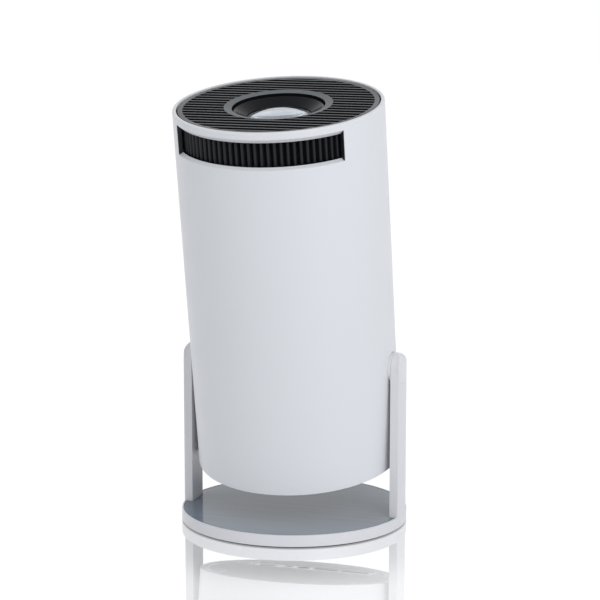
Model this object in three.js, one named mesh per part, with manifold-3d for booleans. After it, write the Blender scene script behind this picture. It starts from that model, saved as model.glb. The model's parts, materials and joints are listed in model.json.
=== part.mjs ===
// Portable mini projector: a cylindrical barrel that tilts between the two arms of a round stand.
// Millimetres, +Z up. The origin is the centre of the face that the stand rests on, +X runs along
// the tilt axis and -Y is the side of the focus slot. The barrel's own frame has its origin on the
// tilt axis and +z along the barrel towards the lens.
import * as THREE from 'three';
import { mergeVertices } from 'three/addons/utils/BufferGeometryUtils.js';
import Module from 'manifold-3d';

const wasm = await Module();
wasm.setup();

// ---- Driving dimensions ----------------------------------------------------------------------

const seat = 0.3; // gap between two pieces that sit on each other
const runGap = 0.4; // gap between two pieces that turn or slide past each other
const merge = 0.5; // how far two joined solids of one piece run into each other
const past = 1; // how far a cut runs on beyond the face that it opens
const restTilt = 10.72; // degrees that the barrel leans towards -Y at rest

// Barrel shell
const barrelRadius = 50.5;
const barrelWall = 2.2;
const barrelLength = 181.3;
const rearOverhang = 49.5; // from the tilt axis to the rear edge, along the barrel
const frontBevel = 0.7;
const slotTopDepth = 3.3; // from the front edge to the slot's upper lip
const slotHeight = 14.6;
const slotHalfAngle = 54;
const slotChamfer = 2;

// Front grille and lens surround
const endRecess = 0.3; // how far both end covers lie inside the shell's edges
const grilleThickness = 3.1;
const grilleRim = 2.4;
const slatPitch = 4.17;
const slatWidth = 2;
const slatDepth = 2.4;
const surroundWidth = 4.05;
const surroundDrop = 0.7; // slope of the lens surround towards the lens

// Focus ring
const ribCount = 96;
const ribHeight = 0.9;
const ribGap = 1; // between the ribs and the shell's inner wall
const rimThickness = 2.4;
const rimOverlap = 1.7; // rim hidden below the slot
const hubDrop = 6.2; // hub below the rim
const hubWall = 2.5;
const webThickness = 2;
const webDepth = 6.5; // web's upper face below the rim's upper edge
const hubRise = 4; // hub above the web
const windowCount = 6;
const windowMargin = 3; // web left beside the hub and beside the rim
const windowSpoke = 16; // degrees between two windows

// Projection lens
const lensRadius = 17.2;
const lensBarrelWall = 4.1;
const trimDepth = 2.4; // funnel's lip below the shell's front edge
const lensEdgeDepth = 6; // visible edge of the front lens below the shell's front edge
const lensViewRadius = 15.6;
const trimLip = 0.8;
const lensLedge = 1; // width of the ledges that the middle lens sits on
const frontLedge = 1.8; // width of the front lens's ledge
const ledgeThickness = 1.5;
const trimFlange = 1.2;
const lensMouthWall = 1.1; // lens barrel's wall round the trim's spigot
const frontLensThickness = 2.8;
const frontLensBulge = 4.2;
const middleLensRadius = 12;
const middleLensThickness = 4;
const middleLensHollow = 1.2; // depth of each hollow face
const rearLensThickness = 3;
const rearLensBulge = 2.6;
const lensSpacing = 4.5;
const focusTravel = 2; // lens travel each way
const focusRise = 2.8; // lens travel for one radian of the ring
const focusTurn = 40; // degrees each way
const pinRadius = 1.2;
const pinCount = 3;
const pinHold = 2.3; // pin inside the lens barrel's wall
const pinTipGap = 0.5; // pin's tip inside the hub's outer face
const helixSteps = 8;
const sleeveWall = 1.65;
const sleeveRise = 1; // bulkhead's sleeve above the hub

// Bulkhead and optical engine
const bulkheadThickness = 2.2;
const bulkheadLegs = 7.2;
const legRadius = 3;
const airWindows = [[-20, 20], [50, 85], [95, 130], [160, 200]]; // degrees
const airMargin = 3; // bulkhead left outside the air windows
const engineRear = 4; // engine's rear wall in front of the tilt axis
const engineWidth = 72;
const engineDepth = 44;
const engineWall = 1.8;
const railHeight = 1.5;
const railThickness = 1;
const heatGlassPlace = 26; // from the engine's rear face
const rearFresnelStep = 6; // from the heat glass
const panelStep = 7; // from the rear Fresnel lens
const frontFresnelStep = 7; // from the panel
const heatGlassThickness = 1.1;
const fresnelThickness = 2;
const panelThickness = 2.2;
const funnelWall = 1;
const condenserRadius = 10.5;
const condenserThickness = 2;
const condenserBulge = 4;
const condenserLedge = 0.5;
const lampBoardSide = 40;
const lampBoardThickness = 1.6;
const ledHalf = 7;
const ledHeight = 0.8;
const lidBossRadius = 2.6;
const lidBossInset = 5; // bosses from the main board's edges

// Tilt pivot
const sideGap = 0.9; // between the barrel and an arm's inner face
const boltRadius = 2;
const boltHeadRadius = 3.4;
const boltHeadThickness = 1.1;
const boltTipGap = 0.8; // bolt's tip in front of the engine's wall
const washerRadius = 5.5;
const washerThickness = 0.8;
const nutRadius = 4.6;
const nutThickness = 3.1;
const lugHalfWidth = 8.5;
const lugRear = 9; // lug behind the tilt axis
const lugFront = 22; // lug in front of the tilt axis

// Cooling and boards
const sinkBase = 3.2;
const sinkPostGap = 1.2;
const sinkDepth = 42;
const finCount = 11;
const finThickness = 1.2;
const bracketThickness = 2;
const plenumDepth = 14.1; // between the fan and the rear cover
const fanSide = 50;
const fanThickness = 15;
const fanMargin = 4; // between the fan frame's lower corners and the shell, along Y
const fanBoreWall = 1.5; // fan's frame where the round bore comes nearest its sides
const fanHub = 12;
const fanStrut = 1.5; // thickness and half width of the motor's struts
const fanStrutCount = 3;
const rotorDrop = 1; // rotor's front face inside the frame's
const bladeCount = 7;
const bladeThickness = 1.2;
const bladeChord = 12;
const bladePitch = 40;
const boardThickness = 1.6;
const mainBoardWidth = 64;
const mainBoardEndGap = 5; // board's ends from the fan bracket and from the engine's front face
const mainBoardStandoff = 2.7;
const boardChips = [ // left and right edge, height, near and far edge from the board's front end
  [-8, 8, 1.6, 44, 60],
  [12, 24, 1.2, 46, 58],
  [-26, -13, 2, 12, 24],
];
const capacitorX = [-20, -8, 4];
const capacitorRadius = 4;
const capacitorHeight = 8;
const capacitorInset = 20; // from the board's rear end
const ribbonHalf = 15; // half the width of the panel's ribbon and of its connector
const ribbonThickness = 0.3;
const connectorHeight = 2.4;
const connectorDepth = 4;
const connectorInset = 2; // from the board's front end

// Sockets, from left to right in one row behind the port panel
const portBoardDepth = 16;
const boardPostRadius = 2;
const boardPostGap = 1.3; // between a post and the fan's side
const socketDepth = 9;
const socketGap = 0.6;
const socketBack = 1.2; // rear wall of a socket's shell
const socketMouth = 0.6; // tongue or pin inside the socket's front face
const audioRadius = 1.8;
const audioBody = 3.2; // half side
const dcRadius = 2.9;
const dcPin = 1;
const dcBody = 4.3; // half side
const usbHalf = [6.3, 2.6];
const usbShell = 0.8;
const usbTongue = [5.5, 0.9];
const hdmiHalf = [7, 2.3];
const hdmiShell = 0.6;
const hdmiTongue = [5.4, 0.4];
const rowDrop = 2.8; // between the port panel's frame and the shell

// Rear cover and controls
const coverThickness = 2.8;
const rowMargin = 1.25; // port panel beyond the row of sockets
const boardMargin = 0.75; // port board beyond the row of sockets
const portPanelDepth = 12;
const portPanelThickness = 2;
const panelRecess = 0.2; // port panel inside the cover's outer face
const coverFrame = 2; // frame round the port panel
const coverPostRadius = 3;
const coverScrewRadius = 1.2;
const coverScrewHead = 2.6;
const coverScrewSink = 1.6; // depth of the recess for the head
const coverScrewLength = 9; // thread beyond the cover
const coverBossWall = 1.6;
const coverBossGap = 1.4; // between the screw bosses and the shell
const buttonRadius = 4.2;
const buttonProud = 0.1; // button beyond the cover's outer face
const buttonFlange = 0.8; // width
const buttonFlangeThickness = 1.2;
const buttonStem = 1.5;
const buttonTravel = 0.8;
const switchHalf = 3;
const switchBody = 3.2;
const switchPlunger = 1.3;
const lightRadius = 1.2;

// Speaker
const speakerHalfLength = 17;
const speakerSleeveGap = 2.85; // between the speaker and the sleeve of the lens
const speakerMargin = 4.5; // between the speaker and the shell
const speakerRim = 2;
const speakerDepth = 6;
const coneThickness = 1.5;
const magnetRadius = 7.5;
const magnetDepth = 6.5;

// Stand
const armThickness = 4.6;
const armHalfWidth = 7.45;
const capThickness = 1.2;
const sweepGap = 2.8; // between the base and the barrel's rear corner as it swings past
const footLift = 0.6; // rim above the surface that the stand rests on
const rimHeight = 5.65;
const rimWidth = 2.6;
const plateBorder = 0.8;
const plateDrop = 0.1;
const plateThickness = 1;
const floorThickness = 1;
const rimBevel = 0.4;
const weightMargin = 3;
const baseCoverThickness = 1.4;
const footMargin = 3.4; // between the foot ring and the tray's wall
const footWidth = 8;
const footThickness = 0.9;
const baseScrewCircle = 30;
const baseScrewCount = 3;
const baseScrewRadius = 1;
const baseScrewHead = 2.2;
const baseScrewSink = 0.9; // depth of the recess for the head
const pilotCover = 0.4; // floor left above a screw's pilot hole
const baseBossRadius = 3;

// ---- Derived places --------------------------------------------------------------------------

const deg = Math.PI / 180;
const wideSides = 56; // sides of the large rounds: shell, covers and base
const roundSides = 30;
const smallSides = 10; // screws, pins and posts
const sliver = 0.01; // joints and cuts leave no edge shorter than this
const frontZ = barrelLength - rearOverhang;
const rearZ = -rearOverhang;
const boreRadius = barrelRadius - barrelWall;
const fitRadius = boreRadius - seat;

const slotTop = frontZ - slotTopDepth;
const slotLow = slotTop - slotHeight;
const grilleTop = frontZ - endRecess;
const grilleLow = grilleTop - grilleThickness;

const lensBarrelRadius = lensRadius + seat + lensBarrelWall;
const sleeveInner = lensBarrelRadius + runGap;
const sleeveOuter = sleeveInner + sleeveWall;
const hubInner = sleeveOuter + seat;
const hubOuter = hubInner + hubWall;
const surroundInner = lensBarrelRadius + runGap + seat;
const surroundOuter = surroundInner + surroundWidth;

const ribOuter = boreRadius - ribGap;
const ribRoot = ribOuter - ribHeight;
const rimInner = ribRoot - rimThickness;
const rimTop = grilleLow - runGap;
const rimLow = slotLow + slotChamfer - rimOverlap;
const hubLow = rimLow - hubDrop;
const webTop = rimTop - webDepth;
const hubTop = webTop + hubRise;
const webLow = webTop - webThickness;
const pinZ = (hubLow + webLow) / 2;

const bulkheadTop = hubLow - seat;
const bulkheadLow = bulkheadTop - bulkheadThickness;
const engineFront = bulkheadLow - bulkheadLegs - seat;
const engineLeft = engineWidth / 2;
const engineLow = -engineDepth / 2;
const engineTop = engineDepth / 2;
const lidLow = engineTop - engineWall;
const legX = engineLeft - legRadius - engineWall;
const legY = engineTop - legRadius - 2 * engineWall;

const armInner = barrelRadius + sideGap;
const baseRadius = armInner + armThickness;
const padFace = armInner - seat;
const washerGap = seat / 1.5;
const washerFloor = armInner - washerThickness - 2 * washerGap;
const capInner = baseRadius - capThickness;
const boltHeadOuter = capInner - 2 * seat;
const boltHeadInner = boltHeadOuter - boltHeadThickness;
const boltTip = engineLeft + boltTipGap;
const boltHole = boltRadius + seat;
const lugOuter = Math.sqrt(boreRadius ** 2 - lugHalfWidth ** 2) - seat;

const coverOuter = rearZ + endRecess;
const coverInner = coverOuter + coverThickness;
const panelOuter = coverOuter + panelRecess;
const panelInner = panelOuter + portPanelThickness;
const fanRear = coverInner + plenumDepth;
const bracketRear = fanRear + fanThickness + seat;
const bracketFront = bracketRear + bracketThickness;
const mainBoardRear = bracketFront + mainBoardEndGap;
const mainBoardFront = engineFront - mainBoardEndGap;
const mainBoardLow = engineTop + mainBoardStandoff + seat;
const mainBoardTop = mainBoardLow + boardThickness;
const lampBoardFront = engineRear - seat;
const lampBoardRear = lampBoardFront - lampBoardThickness;
const sinkFront = lampBoardRear - seat;
const sinkRear = sinkFront - sinkBase;
const socketRear = panelInner + seat;
const portBoardRear = socketRear + socketDepth;
const portBoardFront = portBoardRear + boardThickness;

const buttonBody = buttonRadius + buttonFlange;
const usbBody = usbHalf[0] + usbShell;
const hdmiBody = hdmiHalf[0] + hdmiShell;
const rowGaps = (seat + 4 * socketGap) / 2;
const rowHalf = buttonBody + lightRadius + audioBody + dcBody + usbBody + hdmiBody + rowGaps;
const buttonX = buttonBody - rowHalf;
const lightX = buttonX + buttonBody + seat + lightRadius;
const audioX = lightX + lightRadius + socketGap + audioBody;
const dcX = audioX + audioBody + socketGap + dcBody;
const usbX = dcX + dcBody + socketGap + usbBody;
const hdmiX = usbX + usbBody + socketGap + hdmiBody;

const portPanelHalf = rowHalf + rowMargin;
const portBoardHalf = rowHalf + boardMargin;
const panelFrameX = portPanelHalf + seat + coverFrame;
const panelFrameY = portPanelDepth / 2 + seat + coverFrame;
const portRow = Math.sqrt(fitRadius ** 2 - panelFrameX ** 2) - panelFrameY - rowDrop;
const coverScrewX = panelFrameX + coverScrewHead + seat;
const coverBossRadius = coverScrewHead + coverBossWall;
const coverScrewCircle = fitRadius - coverBossRadius - coverBossGap;
const coverScrewY = Math.sqrt(coverScrewCircle ** 2 - coverScrewX ** 2);
const fanBore = fanSide / 2 - fanBoreWall;
const fanY = fanSide / 2 + fanMargin - Math.sqrt(fitRadius ** 2 - (fanSide / 2) ** 2);
const speakerHalfWidth = (fitRadius - speakerMargin - sleeveOuter - speakerSleeveGap) / 2;
const speakerY = speakerHalfWidth + speakerMargin - fitRadius;

const rimTopZ = footLift + rimHeight;
const plateTop = rimTopZ - plateDrop;
const plateLow = plateTop - plateThickness;
const floorTop = plateLow - seat;
const floorLow = floorTop - floorThickness;
const trayInner = baseRadius - rimWidth;
const footOuter = trayInner - footMargin;
const footInner = footOuter - footWidth;
const baseCoverTop = footLift + baseCoverThickness;
const sweepRadius = Math.hypot(rearOverhang, barrelRadius);
const pivotHeight = rimTopZ + sweepRadius + sweepGap;

// ---- Materials -------------------------------------------------------------------------------

function finish(color, roughness, metalness = 0) {
  return new THREE.MeshStandardMaterial({ color, roughness, metalness });
}

const whiteShell = finish(0xdfe1e5, 0.45);
const blackPlastic = finish(0x17181a, 0.5);
const glossBlack = finish(0x0c0d0e, 0.2);
const greyPlate = finish(0x8a929c, 0.15);
const darkInner = finish(0x26282b, 0.6);
const lensGlass = finish(0xe4ecf0, 0.05);
const steel = finish(0x9a9da0, 0.35, 1);
const brass = finish(0xb5924c, 0.3, 1);
const aluminium = finish(0xb9bcc0, 0.4, 1);
const rubber = finish(0x202122, 0.9);
const boardGreen = finish(0x1d5a3a, 0.5);
const ribbonTan = finish(0xb07a35, 0.4);
const nylon = finish(0xd8d5c8, 0.6);

// ---- Solid helpers ---------------------------------------------------------------------------

// Corners go to a fine grid first, so that faces meant to be level with each other are level.
function toSolid(geometry) {
  const grid = 1e4;
  const bare = geometry.clone();
  bare.deleteAttribute('normal');
  bare.deleteAttribute('uv');
  const places = bare.attributes.position.array;
  places.forEach((value, index) => { places[index] = Math.round(value * grid) / grid; });
  const merged = mergeVertices(bare, 1e-4);
  const corners = merged.index.array;
  const kept = [];
  for (let i = 0; i < corners.length; i += 3) {
    const triangle = [corners[i], corners[i + 1], corners[i + 2]];
    if (new Set(triangle).size === 3) kept.push(...triangle);
  }
  const vertProperties = new Float32Array(merged.attributes.position.array);
  return new wasm.Manifold(
    new wasm.Mesh({ numProp: 3, vertProperties, triVerts: new Uint32Array(kept) }),
  );
}

function toGeometry(solid) {
  const { vertProperties, triVerts } = solid.asOriginal().simplify(sliver).getMesh();
  const geometry = new THREE.BufferGeometry();
  geometry.setAttribute('position', new THREE.BufferAttribute(vertProperties, 3));
  geometry.setIndex(new THREE.BufferAttribute(triVerts, 1));
  geometry.computeVertexNormals();
  return geometry;
}

function join(...geometries) {
  return toGeometry(geometries.map(toSolid).reduce((sum, next) => sum.add(next)));
}

function cut(geometry, ...tools) {
  return toGeometry(tools.map(toSolid).reduce((rest, tool) => rest.subtract(tool), toSolid(geometry)));
}

function common(first, second) {
  return toGeometry(toSolid(first).intersect(toSolid(second)));
}

// A block between two opposite corners.
function block(x0, x1, y0, y1, z0, z1) {
  const geometry = new THREE.BoxGeometry(x1 - x0, y1 - y0, z1 - z0);
  return geometry.translate((x0 + x1) / 2, (y0 + y1) / 2, (z0 + z1) / 2);
}

// A solid of revolution about Z from [radius, z] corners, counter-clockwise, closed if off the axis.
function turned(profile, segments = roundSides) {
  const points = profile.map(([radius, z]) => new THREE.Vector2(radius, z));
  if (profile[0][0] > 0) points.push(points[0].clone());
  return new THREE.LatheGeometry(points, segments).rotateX(Math.PI / 2);
}

function rod(radius, z0, z1, segments = smallSides) {
  return turned([[0, z0], [radius, z0], [radius, z1], [0, z1]], segments);
}

function ring(inner, outer, z0, z1, segments = roundSides) {
  return turned([[inner, z0], [outer, z0], [outer, z1], [inner, z1]], segments);
}

// The same rod lying along X.
function rodX(radius, x0, x1, segments = smallSides) {
  return rod(radius, x0, x1, segments).rotateY(Math.PI / 2);
}

function extruded(shape, z0, z1, curveSegments = 12) {
  const options = { depth: z1 - z0, bevelEnabled: false, curveSegments };
  return new THREE.ExtrudeGeometry(shape, options).translate(0, 0, z0);
}

// Turns a shape drawn in XY and extruded along Z into one drawn in YZ and extruded along X.
function alongX(geometry) {
  const axes = [new THREE.Vector3(0, 1, 0), new THREE.Vector3(0, 0, 1), new THREE.Vector3(1, 0, 0)];
  return geometry.applyMatrix4(new THREE.Matrix4().makeBasis(...axes));
}

// A window between two radii and two angles in degrees.
function arcWindow(inner, outer, from, to, z0, z1) {
  const shape = new THREE.Shape();
  shape.absarc(0, 0, outer, from * deg, to * deg, false);
  shape.absarc(0, 0, inner, to * deg, from * deg, true);
  shape.closePath();
  return extruded(shape, z0, z1, 6);
}

// A pie slice from the axis outwards.
function wedge(radius, from, to, z0, z1) {
  const shape = new THREE.Shape();
  shape.moveTo(0, 0);
  shape.absarc(0, 0, radius, from * deg, to * deg, false);
  shape.lineTo(0, 0);
  return extruded(shape, z0, z1);
}

// A bar with round ends, its length along X.
function stadium(halfLength, halfWidth, y, z0, z1) {
  const shape = new THREE.Shape();
  const end = halfLength - halfWidth;
  shape.absarc(end, y, halfWidth, -90 * deg, 90 * deg, false);
  shape.absarc(-end, y, halfWidth, 90 * deg, 270 * deg, false);
  shape.closePath();
  return extruded(shape, z0, z1, 8);
}

// A square tube section that widens from one z to the other.
function tapered(x0, y0, z0, x1, y1, z1) {
  const geometry = block(-1, 1, -1, 1, z0, z1);
  const position = geometry.attributes.position;
  for (let i = 0; i < position.count; i += 1) {
    const upper = position.getZ(i) > (z0 + z1) / 2;
    position.setX(i, position.getX(i) * (upper ? x1 : x0));
    position.setY(i, position.getY(i) * (upper ? y1 : y0));
  }
  return geometry;
}

// A lens about Z: its edge lies between z0 and z1, and each face bulges by its own height.
function lens(radius, z0, z1, rearBulge, frontBulge, sides = smallSides) {
  const steps = 4;
  const rear = [];
  const front = [];
  for (let i = 0; i <= steps; i += 1) {
    const share = i / steps;
    rear.push([radius * share, z0 - rearBulge * (1 - share ** 2)]);
    front.unshift([radius * share, z1 + frontBulge * (1 - share ** 2)]);
  }
  return turned([...rear, ...front], sides);
}

function repeat(count, make) {
  return Array.from({ length: count }, (_, index) => make(index));
}

// A rod standing along Y.
function standing(radius, y0, y1) {
  return rod(radius, y0, y1).rotateX(-Math.PI / 2);
}

function fourCorners(x, y) {
  return [[x, y], [-x, y], [x, -y], [-x, -y]];
}

const turnedRound = (geometry) => geometry.rotateZ(Math.PI);

// ---- The object ------------------------------------------------------------------------------

const projector = new THREE.Group();
const barrel = new THREE.Group();
barrel.position.z = pivotHeight;
barrel.rotation.x = restTilt * deg;
projector.add(barrel);

function piece(parent, name, geometry, material) {
  const mesh = new THREE.Mesh(geometry, material);
  mesh.name = name;
  parent.add(mesh);
  return mesh;
}

// ---- Barrel shell: a white tube with a chamfered slot and a round pad for each arm ------------

const pads = [
  rodX(armHalfWidth, lugOuter + seat, padFace, roundSides),
  turnedRound(rodX(armHalfWidth, lugOuter + seat, padFace, roundSides)),
];

function slotTool() {
  const lipRadius = barrelRadius - slotChamfer;
  const lips = turned([
    [boreRadius - past, slotLow + slotChamfer],
    [lipRadius, slotLow + slotChamfer],
    [barrelRadius + past, slotLow - past],
    [barrelRadius + past, slotTop + past],
    [lipRadius, slotTop - slotChamfer],
    [boreRadius - past, slotTop - slotChamfer],
  ], wideSides);
  const low = slotLow - 2 * past;
  const high = slotTop + 2 * past;
  const slice = wedge(2 * barrelRadius, -90 - slotHalfAngle, -90 + slotHalfAngle, low, high);
  return common(lips, slice);
}

function pivotBore() {
  return [
    rodX(boltHole, lugOuter, padFace + past),
    rodX(washerRadius + seat, washerFloor, padFace + past, roundSides),
  ];
}

function barrelShell() {
  const tube = turned([
    [boreRadius, rearZ],
    [barrelRadius, rearZ],
    [barrelRadius, frontZ - frontBevel],
    [barrelRadius - frontBevel, frontZ],
    [boreRadius, frontZ],
  ], wideSides);
  const bores = [...pivotBore(), ...pivotBore().map(turnedRound)];
  return cut(join(tube, ...pads), slotTool(), ...bores);
}

piece(barrel, 'barrel_shell', barrelShell(), whiteShell);

// ---- Front grille: rim, slats along X and the lens surround, one moulding ---------------------

// Slats across a disc, as many on each side of the centre line.
function slats(radius, z0, z1) {
  const half = Math.round(radius / slatPitch);
  return repeat(2 * half, (index) => {
    const y = (index + 0.5 - half) * slatPitch;
    const reach = Math.sqrt(radius ** 2 - (Math.abs(y) - slatWidth / 2) ** 2) + merge / 2;
    return block(-reach, reach, y - slatWidth / 2, y + slatWidth / 2, z0, z1);
  });
}

function frontGrille() {
  const rimRadius = fitRadius - grilleRim;
  const bars = join(...slats(rimRadius, grilleTop - slatDepth, grilleTop));
  const surround = turned([
    [surroundInner, grilleLow],
    [surroundOuter, grilleLow],
    [surroundOuter, grilleTop],
    [surroundInner, grilleTop - surroundDrop],
  ]);
  const rim = ring(rimRadius, fitRadius, grilleLow, grilleTop, wideSides);
  const bore = rod(surroundInner + surroundWidth / 2, grilleLow - past, grilleTop + past, roundSides);
  return join(rim, cut(bars, bore), surround);
}

piece(barrel, 'front_grille', frontGrille(), blackPlastic);

// ---- Focus ring: ribbed rim, web with windows, hub with helical slots for the pins -------------

function ribbedOutline() {
  const pitch = 360 / ribCount;
  const corners = [[0, ribRoot], [0.5, ribOuter]];
  const points = repeat(ribCount, (index) => corners.map(([share, radius]) => {
    const angle = (index + share) * pitch * deg;
    return new THREE.Vector2(radius * Math.cos(angle), radius * Math.sin(angle));
  }));
  return new THREE.Shape(points.flat());
}

// A helical slot through the hub, cut in small steps of turn.
function helixSlot(startAngle) {
  const step = (2 * focusTurn) / helixSteps;
  const width = hubOuter * step * deg + 2 * seat;
  const height = 2 * (pinRadius + seat) + focusRise * step * deg;
  return repeat(helixSteps + 1, (index) => {
    const turn = index * step - focusTurn;
    const z = pinZ + focusRise * turn * deg - height / 2;
    const tool = block(hubInner - past, hubOuter + past, -width / 2, width / 2, z, z + height);
    return tool.rotateZ((startAngle - turn) * deg);
  });
}

const pinAngle = (index) => 90 + (360 / pinCount) * index;

function focusRing() {
  const rim = ribbedOutline();
  rim.holes.push(new THREE.Path().absarc(0, 0, rimInner, 0, 2 * Math.PI, true));
  const body = join(
    extruded(rim, rimLow, rimTop, roundSides),
    ring(hubOuter - merge, rimInner + merge, webLow, webTop),
    ring(hubInner, hubOuter, hubLow, hubTop),
  );
  const step = 360 / windowCount;
  const windows = repeat(windowCount, (index) => {
    const from = index * step + windowSpoke / 2;
    const to = (index + 1) * step - windowSpoke / 2;
    const inner = hubOuter + windowMargin;
    return arcWindow(inner, rimInner - windowMargin, from, to, webLow - past, webTop + past);
  });
  return cut(body, ...windows, ...repeat(pinCount, (index) => helixSlot(pinAngle(index))).flat());
}

piece(barrel, 'focus_ring', focusRing(), blackPlastic);

// ---- Projection lens: barrel, screwed-in funnel trim, three glasses, focus pins ----------------

const trimTop = frontZ - trimDepth;
const spigotRadius = lensBarrelRadius - lensMouthWall - seat;
const glassEdge = frontZ - lensEdgeDepth;
const frontLensTop = glassEdge - seat - frontLensBulge * (1 - (lensViewRadius / lensRadius) ** 2);
const frontLensLow = frontLensTop - frontLensThickness;
const shoulderTop = frontLensLow - seat;
const lensBarrelTop = trimTop - trimFlange - seat;
const lensBarrelLow = engineFront + focusTravel + runGap + seat;
const middleTop = shoulderTop - lensSpacing;
const middleLow = middleTop - middleLensThickness;
const rearLensLow = lensBarrelLow + rearLensBulge;
const rearLensTop = rearLensLow + rearLensThickness;
const cellRadius = middleLensRadius + seat;
const lensCell = lensRadius + seat;

function lensBarrel() {
  const tube = turned([
    [middleLensRadius - lensLedge, middleLow - seat - ledgeThickness],
    [cellRadius, middleLow - seat - ledgeThickness],
    [lensCell, rearLensTop + rearLensBulge + seat],
    [lensCell, lensBarrelLow],
    [lensBarrelRadius, lensBarrelLow],
    [lensBarrelRadius, lensBarrelTop],
    [spigotRadius + seat, lensBarrelTop],
    [spigotRadius + seat, glassEdge - seat],
    [lensCell, glassEdge - seat],
    [lensCell, shoulderTop],
    [lensRadius - frontLedge, shoulderTop],
    [cellRadius, middleTop + seat],
    [cellRadius, middleLow - seat],
    [middleLensRadius - lensLedge, middleLow - seat],
  ]);
  const holes = repeat(pinCount, (index) => {
    const hole = rodX(pinRadius + seat, lensBarrelRadius - pinHold - seat, lensBarrelRadius + past);
    return hole.rotateZ(pinAngle(index) * deg).translate(0, 0, pinZ);
  });
  return cut(tube, ...holes);
}

function lensTrim() {
  return turned([
    [lensViewRadius, glassEdge],
    [spigotRadius, glassEdge],
    [spigotRadius, trimTop - trimFlange],
    [lensBarrelRadius, trimTop - trimFlange],
    [lensBarrelRadius, trimTop],
    [lensBarrelRadius - trimLip, trimTop],
  ]);
}

piece(barrel, 'lens_barrel', lensBarrel(), darkInner);
piece(barrel, 'lens_trim', lensTrim(), glossBlack);
const middleLens = lens(middleLensRadius, middleLow, middleTop, -middleLensHollow, -middleLensHollow);
const frontLens = lens(lensRadius, frontLensLow, frontLensTop, 0, frontLensBulge, roundSides);
piece(barrel, 'front_lens', frontLens, lensGlass);
piece(barrel, 'middle_lens', middleLens, lensGlass);
const rearLens = lens(lensRadius, rearLensLow, rearLensTop, rearLensBulge, rearLensBulge, roundSides);
piece(barrel, 'rear_lens', rearLens, lensGlass);

repeat(pinCount, (index) => {
  const pin = rodX(pinRadius, lensBarrelRadius - pinHold, hubOuter - pinTipGap);
  const mesh = piece(barrel, `focus_pin_${index + 1}`, pin, steel);
  mesh.rotation.z = pinAngle(index) * deg;
  mesh.position.z = pinZ;
  return mesh;
});

// ---- Front bulkhead: sleeve that guides the lens, disc that centres it in the shell, four legs --

function frontBulkhead() {
  const sleeveTop = hubTop + sleeveRise;
  const legs = fourCorners(legX, legY).map(([x, y]) => (
    rod(legRadius, engineFront + seat, bulkheadLow + merge).translate(x, y, 0)
  ));
  const body = join(
    ring(sleeveInner, sleeveOuter, engineFront + seat, sleeveTop),
    ring(sleeveOuter - merge, fitRadius, bulkheadLow, bulkheadTop, wideSides),
    ...legs,
  );
  const half = pinRadius + seat;
  const reach = focusTravel + half;
  const pinSlots = repeat(pinCount, (index) => (
    block(sleeveInner - past, sleeveOuter + past, -half, half, pinZ - reach, pinZ + reach)
      .rotateZ(pinAngle(index) * deg)
  ));
  const windowInner = Math.hypot(legX, legY) + legRadius;
  const windows = airWindows.map(([from, to]) => (
    arcWindow(windowInner, fitRadius - airMargin, from, to, bulkheadLow - past, bulkheadTop + past)
  ));
  const halfLength = speakerHalfLength - speakerRim;
  const halfWidth = speakerHalfWidth - speakerRim;
  const speakerHole = stadium(halfLength, halfWidth, speakerY, bulkheadLow - past, bulkheadTop + past);
  return cut(body, ...pinSlots, ...windows, speakerHole);
}

piece(barrel, 'front_bulkhead', frontBulkhead(), darkInner);

// ---- Speaker behind the bulkhead ---------------------------------------------------------------

function speakerFrame() {
  const top = bulkheadLow - seat;
  const body = join(
    stadium(speakerHalfLength, speakerHalfWidth, speakerY, top - speakerDepth, top),
    rod(magnetRadius, top - speakerDepth - magnetDepth, top - speakerDepth + merge, roundSides)
      .translate(0, speakerY, 0),
  );
  const floor = top - speakerDepth + speakerRim;
  const bowl = stadium(
    speakerHalfLength - speakerRim, speakerHalfWidth - speakerRim, speakerY, floor, top + past,
  );
  return cut(body, bowl);
}

function speakerCone() {
  const low = bulkheadLow - speakerDepth + speakerRim;
  const rim = speakerRim + seat;
  return stadium(speakerHalfLength - rim, speakerHalfWidth - rim, speakerY, low, low + coneThickness);
}

piece(barrel, 'speaker_frame', speakerFrame(), darkInner);
piece(barrel, 'speaker_cone', speakerCone(), blackPlastic);

// ---- Optical engine: housing with rails and pivot lugs, lid, and the plates in the light path ---

const heatGlassZ = engineRear + heatGlassPlace;
const rearFresnelZ = heatGlassZ + rearFresnelStep;
const panelZ = rearFresnelZ + panelStep;
const platePlaces = [
  ['heat_glass', heatGlassZ, heatGlassThickness, lensGlass],
  ['rear_fresnel', rearFresnelZ, fresnelThickness, lensGlass],
  ['lcd_panel', panelZ, panelThickness, glossBlack],
  ['front_fresnel', panelZ + frontFresnelStep, fresnelThickness, lensGlass],
];
const cavityX = engineLeft - engineWall;
const cavityLow = engineLow + engineWall;
const plateHigh = lidLow - 2 * seat;

// Two rails on each side wall that hold one plate.
function plateRails(middle, thickness) {
  const half = thickness / 2 + seat;
  return [1, -1].flatMap((side) => [-half - railThickness, half].map((start) => {
    const near = side * (cavityX - railHeight);
    const far = side * (cavityX + merge);
    const z = middle + start;
    return block(
      Math.min(near, far), Math.max(near, far), cavityLow - merge, plateHigh, z, z + railThickness,
    );
  }));
}

// A lug with a pocket for the pivot nut, on the +X side.
function pivotLug() {
  const pocket = engineLeft + nutThickness + 2 * seat;
  const body = block(engineLeft - merge, lugOuter, -lugHalfWidth, lugHalfWidth, -lugRear, lugFront);
  const nutHalf = nutRadius + seat;
  return cut(
    body,
    block(engineLeft - past, pocket, -nutHalf, nutHalf, -lugRear - past, nutHalf),
    rodX(boltHole, engineLeft - past, lugOuter + past),
  );
}

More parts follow.
